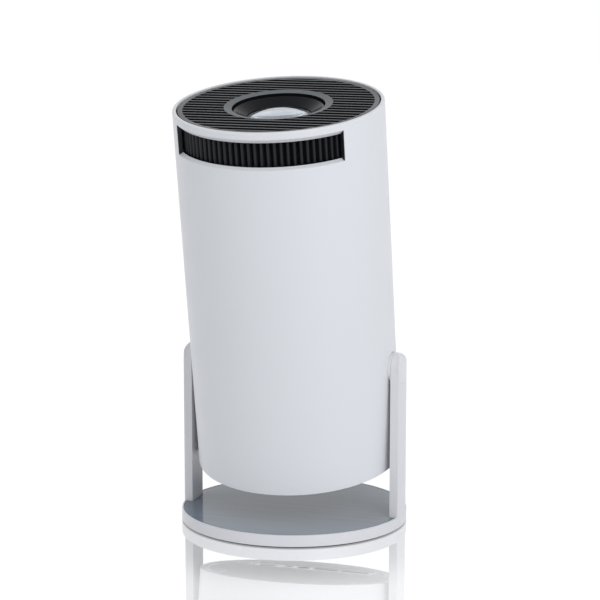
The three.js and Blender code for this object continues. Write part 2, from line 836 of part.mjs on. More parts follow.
function opticalHousing() {
  const outer = block(-engineLeft, engineLeft, engineLow, lidLow - seat, engineRear, engineFront);
  const cavity = block(
    -cavityX, cavityX, cavityLow, engineTop, engineRear + engineWall, engineFront - engineWall,
  );
  const half = condenserRadius - condenserLedge;
  const lampHole = block(-half, half, -half, half, engineRear - past, engineRear + engineWall + past);
  const lensHole = rod(lensRadius, engineFront - engineWall - past, engineFront + past, roundSides);
  const box = cut(outer, cavity, lampHole, lensHole);
  const rails = platePlaces.flatMap(([, middle, thickness]) => plateRails(middle, thickness));
  return join(box, ...rails, pivotLug(), turnedRound(pivotLug()));
}

// The lid carries four bosses for the main board and a slot for the panel's ribbon.
const lidBossX = mainBoardWidth / 2 - lidBossInset;
const lidBossRows = [engineRear + lidBossInset, mainBoardFront - lidBossInset];

function engineLid() {
  const plate = block(-engineLeft, engineLeft, lidLow, engineTop, engineRear, engineFront);
  const bosses = lidBossRows.flatMap((z) => [-lidBossX, lidBossX].map((x) => (
    standing(lidBossRadius, engineTop - merge, engineTop + mainBoardStandoff).translate(x, 0, z)
  )));
  const slotHalf = ribbonThickness / 2 + 2 * seat;
  const reach = ribbonHalf + seat;
  const slot = block(
    -reach, reach, lidLow - past, engineTop + past, panelZ - slotHalf, panelZ + slotHalf,
  );
  return cut(join(plate, ...bosses), slot);
}

piece(barrel, 'optical_housing', opticalHousing(), darkInner);
piece(barrel, 'engine_lid', engineLid(), darkInner);
platePlaces.forEach(([name, middle, thickness, material]) => {
  const half = thickness / 2;
  const plate = block(
    -cavityX + seat, cavityX - seat, cavityLow + seat, plateHigh, middle - half, middle + half,
  );
  piece(barrel, name, plate, material);
});

// ---- Lamp: LED board, condenser lens and the mirrored light funnel ------------------------------

function lightFunnel() {
  const high = heatGlassZ - heatGlassThickness / 2 - seat;
  const narrow = condenserRadius + condenserLedge;
  const wideX = cavityX - railHeight - seat - funnelWall;
  const wideY = -cavityLow - seat - funnelWall;
  const outer = narrow + funnelWall;
  return cut(
    tapered(outer, outer, condenserLow, wideX + funnelWall, wideY + funnelWall, high),
    tapered(narrow, narrow, condenserLow - sliver, wideX, wideY, high + sliver),
  );
}

function lampBoard() {
  const half = lampBoardSide / 2;
  return join(
    block(-half, half, -half, half, lampBoardRear, lampBoardFront),
    block(-ledHalf, ledHalf, -ledHalf, ledHalf, lampBoardFront - merge, lampBoardFront + ledHeight),
  );
}

const condenserLow = engineRear + engineWall + seat;
const condenserHigh = condenserLow + condenserThickness;
const condenser = lens(condenserRadius, condenserLow, condenserHigh, 0, condenserBulge);
piece(barrel, 'light_funnel', lightFunnel(), aluminium);
piece(barrel, 'condenser_lens', condenser, lensGlass);
piece(barrel, 'led_board', lampBoard(), aluminium);

function heatSink() {
  const halfX = legX - legRadius - sinkPostGap;
  const halfY = sinkDepth / 2;
  const step = (2 * halfX - finThickness) / (finCount - 1);
  const fins = repeat(finCount, (index) => {
    const x = -halfX + index * step;
    return block(x, x + finThickness, -halfY, halfY, bracketFront + seat, sinkRear + merge);
  });
  return join(block(-halfX, halfX, -halfY, halfY, sinkRear, sinkFront), ...fins);
}

piece(barrel, 'heat_sink', heatSink(), aluminium);

// ---- Tilt pivot: bolt, nut and friction washer on each side -------------------------------------

function pivotBolt() {
  return join(
    rodX(boltHeadRadius, boltHeadInner, boltHeadOuter),
    rodX(boltRadius, boltTip, boltHeadInner + merge),
  );
}

function pivotNut() {
  const x = engineLeft + seat;
  return cut(rodX(nutRadius, x, x + nutThickness, 6), rodX(boltHole, x - past, x + nutThickness + past));
}

function frictionWasher() {
  const x = washerFloor + washerGap;
  return ring(boltHole, washerRadius, x, x + washerThickness, smallSides).rotateY(Math.PI / 2);
}

[['right', 0], ['left', Math.PI]].forEach(([side, turn]) => {
  piece(barrel, `pivot_bolt_${side}`, pivotBolt(), steel).rotation.z = turn;
  piece(barrel, `pivot_nut_${side}`, pivotNut(), brass).rotation.z = turn;
  piece(barrel, `friction_washer_${side}`, frictionWasher(), nylon).rotation.z = turn;
});

// ---- Fan bracket, fan frame and rotor -----------------------------------------------------------

const coverPosts = fourCorners(coverScrewX, coverScrewY);

function fanBracket() {
  const rearPosts = coverPosts.map(([x, y]) => (
    rod(coverPostRadius, coverInner + seat, bracketRear + merge).translate(x, y, 0)
  ));
  const frontPosts = fourCorners(legX, legY).map(([x, y]) => (
    rod(legRadius, bracketFront - merge, engineRear - seat).translate(x, y, 0)
  ));
  const boardPostX = fanSide / 2 + boardPostGap + boardPostRadius;
  const boardPosts = [-boardPostX, boardPostX].map((x) => (
    rod(boardPostRadius, portBoardFront + seat, bracketRear + merge).translate(x, portRow, 0)
  ));
  const plate = rod(fitRadius, bracketRear, bracketFront, wideSides);
  const screwHoles = coverPosts.map(([x, y]) => (
    rod(coverScrewRadius + seat, coverInner - past, coverInner + coverScrewLength).translate(x, y, 0)
  ));
  const airHole = rod(fanBore, bracketRear - past, bracketFront + past, roundSides).translate(0, fanY, 0);
  return cut(join(plate, ...rearPosts, ...frontPosts, ...boardPosts), airHole, ...screwHoles);
}

function fanFrame() {
  const half = fanSide / 2;
  const top = fanRear + fanThickness;
  const box = block(-half, half, -half, half, fanRear, top);
  const tube = cut(box, rod(fanBore, fanRear - past, top + past, roundSides));
  const motor = rod(fanHub, fanRear, fanRear + fanStrut, roundSides);
  const struts = repeat(fanStrutCount, (index) => (
    block(fanHub - merge, fanBore + merge, -fanStrut, fanStrut, fanRear, fanRear + fanStrut)
      .rotateZ((index * 360 / fanStrutCount) * deg)
  ));
  return join(tube, motor, ...struts).translate(0, fanY, 0);
}

function fanRotor() {
  const low = fanRear + fanStrut + runGap;
  const high = fanRear + fanThickness - rotorDrop;
  const middle = (low + high) / 2;
  const halfThickness = bladeThickness / 2;
  const halfChord = bladeChord / 2;
  const blades = repeat(bladeCount, (index) => (
    block(fanHub - past, fanBore - 2 * runGap, -halfThickness, halfThickness, -halfChord, halfChord)
      .rotateX(-bladePitch * deg)
      .rotateZ((index * 360 / bladeCount) * deg)
      .translate(0, 0, middle)
  ));
  const slab = rod(fanBore, low, high, roundSides);
  return join(rod(fanHub, low, high, roundSides), common(join(...blades), slab)).translate(0, fanY, 0);
}

piece(barrel, 'fan_bracket', fanBracket(), darkInner);
piece(barrel, 'fan_frame', fanFrame(), blackPlastic);
piece(barrel, 'fan_rotor', fanRotor(), blackPlastic);

// ---- Main board and the panel's ribbon ----------------------------------------------------------

function mainBoard() {
  const half = mainBoardWidth / 2;
  const root = mainBoardTop - merge;
  const chips = boardChips.map(([left, right, height, near, far]) => (
    block(left, right, root, mainBoardTop + height, mainBoardFront - far, mainBoardFront - near)
  ));
  const connectorFront = mainBoardFront - connectorInset;
  const connectorRear = connectorFront - connectorDepth;
  const connector = block(
    -ribbonHalf, ribbonHalf, root, mainBoardTop + connectorHeight, connectorRear, connectorFront,
  );
  const capacitors = capacitorX.map((x) => (
    standing(capacitorRadius, root, mainBoardTop + capacitorHeight)
      .translate(x, 0, mainBoardRear + capacitorInset)
  ));
  const board = block(-half, half, mainBoardLow, mainBoardTop, mainBoardRear, mainBoardFront);
  return join(board, connector, ...chips, ...capacitors);
}

// The ribbon leaves the panel's edge, passes the lid, runs forward under the main board and folds
// back over its front end onto the connector.
function panelRibbon() {
  const low = plateHigh + seat;
  const level = engineTop + mainBoardStandoff / 2;
  const end = mainBoardFront + 4 * seat;
  const top = mainBoardTop + connectorHeight + 2 * seat;
  const half = ribbonThickness / 2;
  const strip = (y0, y1, z0, z1) => (
    block(-ribbonHalf, ribbonHalf, y0 - half, y1 + half, z0 - half, z1 + half)
  );
  return join(
    strip(low + half, level, panelZ, panelZ),
    strip(level, level, panelZ, end),
    strip(level, top, end, end),
    strip(top, top, mainBoardFront - connectorInset - connectorDepth, end),
  );
}

piece(barrel, 'main_board', mainBoard(), boardGreen);
piece(barrel, 'panel_ribbon', panelRibbon(), ribbonTan);

// ---- Port board, its sockets and the power switch -----------------------------------------------

function portBoard() {
  const low = portRow - portBoardDepth / 2;
  const high = portRow + portBoardDepth / 2;
  return block(-portBoardHalf, portBoardHalf, low, high, portBoardRear, portBoardFront);
}

const socketFront = portBoardRear - seat;

// A rectangular socket about its own centre: shell, open cavity and contact tongue.
function tongueSocket([halfX, halfY], wall, [tongueX, tongueY]) {
  const shell = block(-halfX - wall, halfX + wall, -halfY - wall, halfY + wall, socketRear, socketFront);
  const cavity = block(-halfX, halfX, -halfY, halfY, socketRear - past, socketFront - socketBack);
  const start = socketRear + socketMouth;
  const tongue = block(-tongueX, tongueX, -tongueY, tongueY, start, socketFront - socketBack / 2);
  return join(cut(shell, cavity), tongue);
}

// A round socket in a square body, with or without a centre pin.
function roundSocket(half, bore, pin) {
  const body = block(-half, half, -half, half, socketRear, socketFront);
  const drilled = cut(body, rod(bore, socketRear - past, socketFront - socketBack));
  const start = socketRear + socketMouth;
  return pin ? join(drilled, rod(pin, start, socketFront - socketBack / 2)) : drilled;
}

const sockets = [
  ['audio_socket', audioX, roundSocket(audioBody, audioRadius, 0), glossBlack],
  ['dc_socket', dcX, roundSocket(dcBody, dcRadius, dcPin), glossBlack],
  ['usb_socket', usbX, tongueSocket(usbHalf, usbShell, usbTongue), steel],
  ['hdmi_socket', hdmiX, tongueSocket(hdmiHalf, hdmiShell, hdmiTongue), steel],
];

piece(barrel, 'port_board', portBoard(), boardGreen);
sockets.forEach(([name, x, geometry, material]) => {
  piece(barrel, name, geometry, material).position.set(x, portRow, 0);
});

const flangeRear = panelInner + seat;
const flangeFront = flangeRear + buttonFlangeThickness;
const plungerTip = socketFront - switchBody - switchPlunger;

function powerSwitch() {
  return join(
    block(-switchHalf, switchHalf, -switchHalf, switchHalf, socketFront - switchBody, socketFront),
    rod(buttonStem, plungerTip, socketFront - switchBody + merge),
  );
}

// The button's cap stands in the panel, its flange keeps it in, its stem reaches the switch.
function powerButton() {
  const stemTip = plungerTip - buttonTravel - seat;
  return turned([
    [0, coverOuter - buttonProud],
    [buttonRadius, coverOuter - buttonProud],
    [buttonRadius, flangeRear],
    [buttonRadius + buttonFlange, flangeRear],
    [buttonRadius + buttonFlange, flangeFront],
    [buttonStem, flangeFront],
    [buttonStem, stemTip],
    [0, stemTip],
  ], roundSides / 2);
}

piece(barrel, 'power_switch', powerSwitch(), glossBlack).position.set(buttonX, portRow, 0);
piece(barrel, 'power_button', powerButton(), glossBlack).position.set(buttonX, portRow, 0);
const lightPipe = rod(lightRadius, panelOuter, socketFront);
piece(barrel, 'status_light', lightPipe, lensGlass).position.set(lightX, portRow, 0);

// ---- Rear cover and port panel ------------------------------------------------------------------

function portHoles() {
  const low = panelOuter - past;
  const high = panelInner + past;
  const square = (x, [halfX, halfY]) => (
    block(x - halfX - seat, x + halfX + seat, portRow - halfY - seat, portRow + halfY + seat, low, high)
  );
  const round = (x, radius) => rod(radius, low, high, roundSides / 2).translate(x, portRow, 0);
  return [
    round(buttonX, buttonRadius + seat),
    round(lightX, lightRadius + seat),
    round(audioX, audioRadius + 2 * seat),
    round(dcX, dcRadius + 2 * seat),
    square(usbX, usbHalf),
    square(hdmiX, hdmiHalf),
  ];
}

function portPanel() {
  const low = portRow - portPanelDepth / 2;
  const high = portRow + portPanelDepth / 2;
  const plate = block(-portPanelHalf, portPanelHalf, low, high, panelOuter, panelInner);
  return cut(plate, ...portHoles());
}

function rearCover() {
  const rimRadius = fitRadius - grilleRim;
  const bars = slats(rimRadius, coverOuter, coverInner);
  const frame = block(
    -panelFrameX, panelFrameX, portRow - panelFrameY, portRow + panelFrameY, coverOuter, coverInner,
  );
  const halfX = panelFrameX - coverFrame;
  const halfY = panelFrameY - coverFrame;
  const window = block(
    -halfX, halfX, portRow - halfY, portRow + halfY, coverOuter - past, coverInner + past,
  );
  const bosses = coverPosts.map(([x, y]) => (
    rod(coverBossRadius, coverOuter, coverInner, roundSides / 2).translate(x, y, 0)
  ));
  const holes = coverPosts.flatMap(([x, y]) => [
    rod(coverScrewRadius + seat, coverOuter - past, coverInner + past).translate(x, y, 0),
    rod(coverScrewHead + seat, coverOuter - past, coverOuter + coverScrewSink).translate(x, y, 0),
  ]);
  const rim = ring(rimRadius, fitRadius, coverOuter, coverInner, wideSides);
  return cut(join(rim, ...bars, frame, ...bosses), window, ...holes);
}

function coverScrew() {
  const head = coverOuter + coverScrewSink - seat;
  return join(
    rod(coverScrewHead, coverOuter + seat, head),
    rod(coverScrewRadius, head - merge, coverInner + coverScrewLength - seat),
  );
}

piece(barrel, 'port_panel', portPanel(), glossBlack);
piece(barrel, 'rear_cover', rearCover(), whiteShell);
coverPosts.forEach(([x, y], index) => {
  piece(barrel, `rear_screw_${index + 1}`, coverScrew(), steel).position.set(x, y, 0);
});

// ---- Stand: one white moulding with tray, rim and two arms ---------------------------------------

const baseCylinder = () => rod(baseRadius, 0, pivotHeight + 2 * armHalfWidth, wideSides);

function armBlank() {
  const shape = new THREE.Shape();
  shape.moveTo(-armHalfWidth, floorLow);
  shape.lineTo(armHalfWidth, floorLow);
  shape.absarc(0, pivotHeight, armHalfWidth, 0, Math.PI, false);
  shape.closePath();
  return common(alongX(extruded(shape, armInner, baseRadius + past, smallSides)), baseCylinder());
}

function armTools() {
  return [
    rodX(armHalfWidth + seat / 2, capInner - seat, baseRadius + past, 2 * smallSides),
    rodX(boltHeadRadius + seat, boltHeadInner - seat, baseRadius + past),
    rodX(boltHole, armInner - past, baseRadius + past),
  ].map((tool) => tool.translate(0, 0, pivotHeight));
}

const screwPlaces = repeat(baseScrewCount, (index) => {
  const angle = (90 + (360 / baseScrewCount) * index) * deg;
  return [baseScrewCircle * Math.cos(angle), baseScrewCircle * Math.sin(angle)];
});

function standFrame() {
  const tray = turned([
    [0, floorLow],
    [trayInner, floorLow],
    [trayInner, footLift],
    [baseRadius, footLift],
    [baseRadius, rimTopZ - rimBevel],
    [baseRadius - rimBevel, rimTopZ],
    [baseRadius - plateBorder, rimTopZ],
    [baseRadius - plateBorder, floorTop],
    [0, floorTop],
  ], wideSides);
  const bosses = screwPlaces.map(([x, y]) => (
    rod(baseBossRadius, baseCoverTop + seat, floorLow + merge).translate(x, y, 0)
  ));
  const pilots = screwPlaces.map(([x, y]) => (
    rod(baseScrewRadius + seat, baseCoverTop, floorTop - pilotCover).translate(x, y, 0)
  ));
  const body = join(tray, armBlank(), turnedRound(armBlank()), ...bosses);
  return cut(body, ...armTools(), ...armTools().map(turnedRound), ...pilots);
}

function pivotCap() {
  const disc = rodX(armHalfWidth, capInner, baseRadius + past, 2 * smallSides);
  disc.translate(0, 0, pivotHeight);
  return common(disc, baseCylinder());
}

// The plate is notched where the arms rise from the tray.
function basePlate() {
  const plate = rod(baseRadius - plateBorder - seat, plateLow, plateTop, wideSides);
  const reach = armHalfWidth + seat;
  const notch = block(padFace, baseRadius + past, -reach, reach, plateLow - past, plateTop + past);
  return cut(plate, notch, turnedRound(notch.clone()));
}

function baseWeight() {
  const low = baseCoverTop + seat;
  const top = floorLow - seat;
  const disc = rod(trayInner - weightMargin, low, top, roundSides);
  const holes = screwPlaces.map(([x, y]) => (
    rod(baseBossRadius + seat, low - past, top + past).translate(x, y, 0)
  ));
  return cut(disc, ...holes);
}

function baseCover() {
  const disc = rod(trayInner - seat, footLift, baseCoverTop, wideSides);
  const groove = ring(footInner - seat, footOuter + seat, footLift - past, footThickness + seat);
  const holes = screwPlaces.flatMap(([x, y]) => [
    rod(baseScrewRadius + seat, footLift - past, baseCoverTop + past).translate(x, y, 0),
    rod(baseScrewHead + seat, footLift - past, footLift + baseScrewSink).translate(x, y, 0),
  ]);
  return cut(disc, groove, ...holes);
}

function baseScrew() {
  return join(
    rod(baseScrewHead, footLift, footLift + baseScrewSink - seat),
    rod(baseScrewRadius, footLift + seat, floorTop - pilotCover - seat),
  );
}

piece(projector, 'stand_frame', standFrame(), whiteShell);
piece(projector, 'base_plate', basePlate(), greyPlate);
piece(projector, 'base_weight', baseWeight(), steel);
piece(projector, 'base_cover', baseCover(), blackPlastic);
piece(projector, 'foot_ring', ring(footInner, footOuter, 0, footThickness), rubber);
screwPlaces.forEach(([x, y], index) => {
  piece(projector, `base_screw_${index + 1}`, baseScrew(), steel).position.set(x, y, 0);
});
piece(projector, 'pivot_cap_right', pivotCap(), whiteShell);
piece(projector, 'pivot_cap_left', turnedRound(pivotCap()), whiteShell);

export default projector;
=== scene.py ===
import json
import math

import bpy
from mathutils import Matrix, Vector


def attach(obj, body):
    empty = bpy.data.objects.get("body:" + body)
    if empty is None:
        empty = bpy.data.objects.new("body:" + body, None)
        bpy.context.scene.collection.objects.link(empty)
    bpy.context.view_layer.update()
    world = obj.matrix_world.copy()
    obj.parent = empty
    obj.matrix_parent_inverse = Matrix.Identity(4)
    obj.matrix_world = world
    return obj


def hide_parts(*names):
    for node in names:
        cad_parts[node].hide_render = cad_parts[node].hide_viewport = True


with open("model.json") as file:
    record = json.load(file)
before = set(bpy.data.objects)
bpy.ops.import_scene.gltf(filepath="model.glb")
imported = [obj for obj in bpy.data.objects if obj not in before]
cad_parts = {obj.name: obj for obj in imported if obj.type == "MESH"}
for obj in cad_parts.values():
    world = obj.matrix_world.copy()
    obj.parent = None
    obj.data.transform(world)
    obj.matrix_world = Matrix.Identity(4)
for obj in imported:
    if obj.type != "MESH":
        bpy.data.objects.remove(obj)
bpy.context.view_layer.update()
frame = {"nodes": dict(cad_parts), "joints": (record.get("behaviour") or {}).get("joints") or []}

# ---- Studio: camera, white glossy table, soft light --------------------------------------------
# The projector stands alone on a polished white table in an even white room. One broad lamp on
# the right models the barrel, and a weaker one on the left keeps its shaded side open.

lamp_target = Vector((0, 0, 0.12))
view_turn = math.radians(17.79)
view_rise = math.radians(10.95)
view_point = Vector((0, 0, 0.0924))
view_distance = 1.1365
towards_camera = Vector((
    math.sin(view_turn) * math.cos(view_rise),
    -math.cos(view_turn) * math.cos(view_rise),
    math.sin(view_rise),
))
camera_data = bpy.data.cameras.new("studio_camera")
camera_data.lens = 138.2
camera_data.sensor_width = 36
camera_data.shift_x = 0.0097
camera_data.shift_y = 0.06
camera_data.clip_end = 20
camera = bpy.data.objects.new("studio_camera", camera_data)
bpy.context.scene.collection.objects.link(camera)
camera.location = view_point + view_distance * towards_camera
camera.rotation_euler = (-towards_camera).to_track_quat("-Z", "Y").to_euler()
bpy.context.scene.camera = camera
bpy.context.scene.view_settings.view_transform = "Standard"


def white_seen_by(nodes, links):
    """One for camera, glossy and transmission rays, nought for the rays that light the object."""
    path = nodes.new("ShaderNodeLightPath")
    seen_by = path.outputs["Is Camera Ray"]
    for kind in ("Is Glossy Ray", "Is Transmission Ray"):
        either = nodes.new("ShaderNodeMath")
        either.operation = "MAXIMUM"
        links.new(seen_by, either.inputs[0])
        links.new(path.outputs[kind], either.inputs[1])
        seen_by = either.outputs[0]
    return seen_by


cool = (0.955, 0.985, 1.04, 1)
room = bpy.data.worlds.new("white_room")
bpy.context.scene.world = room
room.use_nodes = True
room_nodes = room.node_tree.nodes
room_links = room.node_tree.links
room_nodes.clear()
room_seen = room_nodes.new("ShaderNodeBackground")
room_seen.inputs["Color"].default_value = (1, 1, 1, 1)
room_seen.inputs["Strength"].default_value = 1
room_light = room_nodes.new("ShaderNodeBackground")
room_light.inputs["Color"].default_value = cool
room_light.inputs["Strength"].default_value = 0.55
room_mix = room_nodes.new("ShaderNodeMixShader")
room_links.new(white_seen_by(room_nodes, room_links), room_mix.inputs[0])
room_links.new(room_light.outputs[0], room_mix.inputs[1])
room_links.new(room_seen.outputs[0], room_mix.inputs[2])
room_out = room_nodes.new("ShaderNodeOutputWorld")
room_links.new(room_mix.outputs[0], room_out.inputs["Surface"])

bpy.ops.object.select_all(action="DESELECT")
bpy.ops.mesh.primitive_plane_add(size=6, location=(0, 0, 0))
table = bpy.context.object
table.name = "table"
polish = bpy.data.materials.new("polished_table")
polish.use_nodes = True
nodes = polish.node_tree.nodes
links = polish.node_tree.links
nodes.clear()


def ramp_over(nodes, links, value, start, end, low, high):
    """Goes from low to high while the value runs from start to end."""
    ramp = nodes.new("ShaderNodeMapRange")
    ramp.interpolation_type = "SMOOTHSTEP"
    ramp.inputs["From Min"].default_value = start
    ramp.inputs["From Max"].default_value = end
    ramp.inputs["To Min"].default_value = low
    ramp.inputs["To Max"].default_value = high
    links.new(value, ramp.inputs["Value"])
    return ramp.outputs["Result"]


where = nodes.new("ShaderNodeTexCoord")
from_middle = nodes.new("ShaderNodeVectorMath")
from_middle.operation = "LENGTH"
links.new(where.outputs["Object"], from_middle.inputs[0])
lit_white = nodes.new("ShaderNodeBsdfDiffuse")
lit_white.inputs["Color"].default_value = (0.9, 0.9, 0.9, 1)
own_white = nodes.new("ShaderNodeEmission")
# Painted contact shadow: the table's glow ramps from 1.25 at 56.5 mm down to nothing at 53.5 mm from the
# middle. The ring under the stand's rim therefore goes dark through this mask, not only through its real
# shadow.
glow_with_painted_shadow = ramp_over(nodes, links, from_middle.outputs["Value"], 0.0535, 0.0565, 0, 1.25)
links.new(glow_with_painted_shadow, own_white.inputs["Strength"])
table_top = nodes.new("ShaderNodeMixShader")
table_top.inputs[0].default_value = 0.25
links.new(own_white.outputs[0], table_top.inputs[1])
links.new(lit_white.outputs[0], table_top.inputs[2])
mirror = nodes.new("ShaderNodeBsdfGlossy")
mirror.inputs["Roughness"].default_value = 0.02
mirror.inputs["Color"].default_value = (1, 1, 1, 1)
grazing = nodes.new("ShaderNodeLayerWeight")
grazing.inputs["Blend"].default_value = 0.5
sheen = nodes.new("ShaderNodeMath")
sheen.operation = "POWER"
sheen.inputs[1].default_value = 2
links.new(grazing.outputs["Facing"], sheen.inputs[0])
mirror_share = nodes.new("ShaderNodeMath")
mirror_share.operation = "MULTIPLY"
mirror_share.use_clamp = True
links.new(sheen.outputs[0], mirror_share.inputs[0])
mirror_fade = ramp_over(nodes, links, from_middle.outputs["Value"], 0.075, 0.13, 1.4, 0.85)
links.new(mirror_fade, mirror_share.inputs[1])
seen = nodes.new("ShaderNodeMixShader")
links.new(mirror_share.outputs[0], seen.inputs[0])
links.new(table_top.outputs[0], seen.inputs[1])
links.new(mirror.outputs[0], seen.inputs[2])
whole = nodes.new("ShaderNodeMixShader")
links.new(white_seen_by(nodes, links), whole.inputs[0])
links.new(lit_white.outputs[0], whole.inputs[1])
links.new(seen.outputs[0], whole.inputs[2])
surface = nodes.new("ShaderNodeOutputMaterial")
links.new(whole.outputs[0], surface.inputs["Surface"])
table.data.materials.append(polish)

for lamp_name, lamp_place, lamp_size, lamp_power in (
    ("broad_lamp_right", (1.1, -0.9, 0.9), 1.0, 10.5),
    ("fill_lamp_left", (-1.2, -0.7, 0.6), 0.9, 2),
):
    lamp_data = bpy.data.lights.new(lamp_name, "AREA")
    lamp_data.size = lamp_size
    lamp_data.energy = lamp_power
    lamp_data.color = cool[:3]
    lamp = bpy.data.objects.new(lamp_name, lamp_data)
    bpy.context.scene.collection.objects.link(lamp)
    lamp.location = lamp_place
    lamp.rotation_euler = (Vector(lamp_place) - lamp_target).to_track_quat("Z", "Y").to_euler()


# ---- Stand: one white moulding, a round tray with its rim and two upright arms -----------------
# Injection-moulded white ABS with a fine satin grain. The arms' outer faces run flush with the
# rim. Their round heads are rolled inwards, carry the barrel and hold a recess for the pivot cap.

MM = 0.001
tilt_joint = next(j for j in frame["joints"] if j["name"] == "barrel_tilt")
barrel_axis = next(j for j in frame["joints"] if j["name"] == "lens_travel")["axis"]
pivot = Vector(tilt_joint["pos_m"])
lean = math.atan2(-barrel_axis[1], barrel_axis[2])
base_radius = 56.0
rim_low, rim_top = 0.6, 6.25
rim_wall = 0.8
skirt_inner = 53.4
floor_low, floor_top = 3.85, 4.85
edge_round = 0.22
edge_mid = 0.3 * edge_round
arm_inner, arm_half = 51.4, 7.45
arm_foot = 4.4
pivot_z = pivot.z / MM
tip_start, tip_depth = 52.4, 3.7
tip_height = arm_half + 0.05
room_half = 12
cap_recess, cap_recess_radius = 54.68, arm_half + 0.08


def clear_selection():
    if bpy.context.object and bpy.context.object.mode != "OBJECT":
        bpy.ops.object.mode_set(mode="OBJECT")
    bpy.ops.object.select_all(action="DESELECT")


def take_up(piece):
    clear_selection()
    piece.select_set(True)
    bpy.context.view_layer.objects.active = piece


def face_outwards():
    """Turns every face of the mesh in edit mode outwards and leaves edit mode."""
    bpy.ops.mesh.select_all(action="SELECT")
    bpy.ops.mesh.normals_make_consistent(inside=False)
    bpy.ops.object.mode_set(mode="OBJECT")


def turned_on_axis(name, outline, steps=180):
    """Draws a closed outline of (radius, height) corners in millimetres and spins it about Z."""
    clear_selection()
    bpy.ops.mesh.primitive_plane_add(size=MM)
    piece = bpy.context.object
    piece.name = name
    bpy.ops.object.mode_set(mode="EDIT")
    bpy.ops.mesh.select_mode(type="VERT")
    bpy.ops.mesh.select_all(action="SELECT")
    bpy.ops.mesh.merge(type="CENTER")
    bpy.ops.transform.translate(value=(outline[0][0] * MM, 0, outline[0][1] * MM))
    solid_core = outline[0][0] == outline[-1][0] == 0
    following = outline[1:] if solid_core else outline[1:] + outline[:1]
    for (r0, z0), (r1, z1) in zip(outline, following):
        step = ((r1 - r0) * MM, 0, (z1 - z0) * MM)
        bpy.ops.mesh.extrude_vertices_move(TRANSFORM_OT_translate={"value": step})
    bpy.ops.mesh.select_all(action="SELECT")
    bpy.ops.mesh.remove_doubles(threshold=1e-7)
    bpy.ops.mesh.spin(steps=steps, angle=2 * math.pi, axis=(0, 0, 1), center=(0, 0, 0))
    bpy.ops.mesh.select_all(action="SELECT")
    bpy.ops.mesh.remove_doubles(threshold=1e-6)
    face_outwards()
    return piece


def bar_between(name, low, high):
    """A block between two corners in millimetres."""
    clear_selection()
    middle = [(a + b) / 2 * MM for a, b in zip(low, high)]
    bpy.ops.mesh.primitive_cube_add(size=1, location=middle)
    piece = bpy.context.object
    piece.name = name
    piece.scale = [(b - a) * MM for a, b in zip(low, high)]
    bpy.ops.object.transform_apply(location=True, rotation=True, scale=True)
    return piece


def round_bar(name, radius, low, high, sides=64, axis="Z", place=(0, 0, 0)):
    """A cylinder along an axis, between two places on it, in millimetres."""
    clear_selection()
    bpy.ops.mesh.primitive_cylinder_add(vertices=sides, radius=radius * MM, depth=(high - low) * MM)
    piece = bpy.context.object
    piece.name = name
    piece.data.transform(Matrix.Translation((0, 0, (high + low) / 2 * MM)))
    turn = {"Z": Matrix.Identity(4), "X": Matrix.Rotation(math.pi / 2, 4, "Y"),
            "Y": Matrix.Rotation(-math.pi / 2, 4, "X")}[axis]
    piece.data.transform(Matrix.Translation(Vector(place) * MM) @ turn)
    return piece


def with_modifier(piece, kind, **settings):
    take_up(piece)
    modifier = piece.modifiers.new(kind.lower(), kind)
    for key, value in settings.items():
        setattr(modifier, key, value)
    bpy.ops.object.modifier_apply(modifier=modifier.name)
    return piece


def shaped_by(piece, tool, operation):
    """Cuts, joins or keeps what two solids share, and takes the tool away."""
    with_modifier(piece, "BOOLEAN", object=tool, operation=operation, solver="EXACT")
    bpy.data.objects.remove(tool)
    return piece


def joined(pieces):
    clear_selection()
    for piece in pieces:
        piece.select_set(True)
    bpy.context.view_layer.objects.active = pieces[0]
    bpy.ops.object.join()
    return pieces[0]


def softened(piece, width, segments=3, angle=32):
    """Rounds the sharp edges of a mesh and lets its broad faces keep their own shading."""
    if width:
        with_modifier(piece, "BEVEL", width=width * MM, segments=segments, limit_method="ANGLE",
                      angle_limit=math.radians(angle), use_clamp_overlap=True)
    with_modifier(piece, "TRIANGULATE", min_vertices=5)
    bpy.ops.object.shade_smooth_by_angle(angle=math.radians(angle + 8))
    with_modifier(piece, "WEIGHTED_NORMAL", keep_sharp=True)
    return piece


def merged(piece):
    """Closes the seams that a cut leaves as doubled points."""
    take_up(piece)
    bpy.ops.object.mode_set(mode="EDIT")
    bpy.ops.mesh.select_all(action="SELECT")
    bpy.ops.mesh.remove_doubles(threshold=2e-6)
    bpy.ops.object.mode_set(mode="OBJECT")
    return piece


def eased(piece, width, segments=3, angle=32):
    """Like softened, for a piece whose cuts left its flat faces in splinters."""
    merged(piece)
    bpy.ops.object.mode_set(mode="EDIT")
    bpy.ops.mesh.select_all(action="SELECT")
    bpy.ops.mesh.dissolve_limited(angle_limit=math.radians(0.2))
    bpy.ops.object.mode_set(mode="OBJECT")
    return softened(piece, width, segments, angle)


def finish_material(name, color, roughness, metallic=0.0, ior=1.5, shine=0.5):
    """A named finish with its principled shader, ready for its grain."""
    material = bpy.data.materials.new(name)
    material.use_nodes = True
    shader = material.node_tree.nodes["Principled BSDF"]
    shader.inputs["Base Color"].default_value = (*color, 1)
    shader.inputs["Roughness"].default_value = roughness
    shader.inputs["Metallic"].default_value = metallic
    shader.inputs["IOR"].default_value = ior
    shader.inputs["Specular IOR Level"].default_value = shine
    return material, material.node_tree.nodes, material.node_tree.links, shader


def object_place(nodes, links, stretch=(1, 1, 1), leaning=False):
    """Object coordinates, turned upright along the barrel where a pattern needs that."""
    place = nodes.new("ShaderNodeTexCoord").outputs["Object"]
    mapping = nodes.new("ShaderNodeMapping")
    mapping.inputs["Scale"].default_value = stretch
    if leaning:
        centre = nodes.new("ShaderNodeMapping")
        centre.inputs["Location"].default_value = -pivot
        links.new(place, centre.inputs["Vector"])
        place = centre.outputs[0]
        mapping.inputs["Rotation"].default_value = (-lean, 0, 0)
    links.new(place, mapping.inputs["Vector"])
    return mapping.outputs[0]


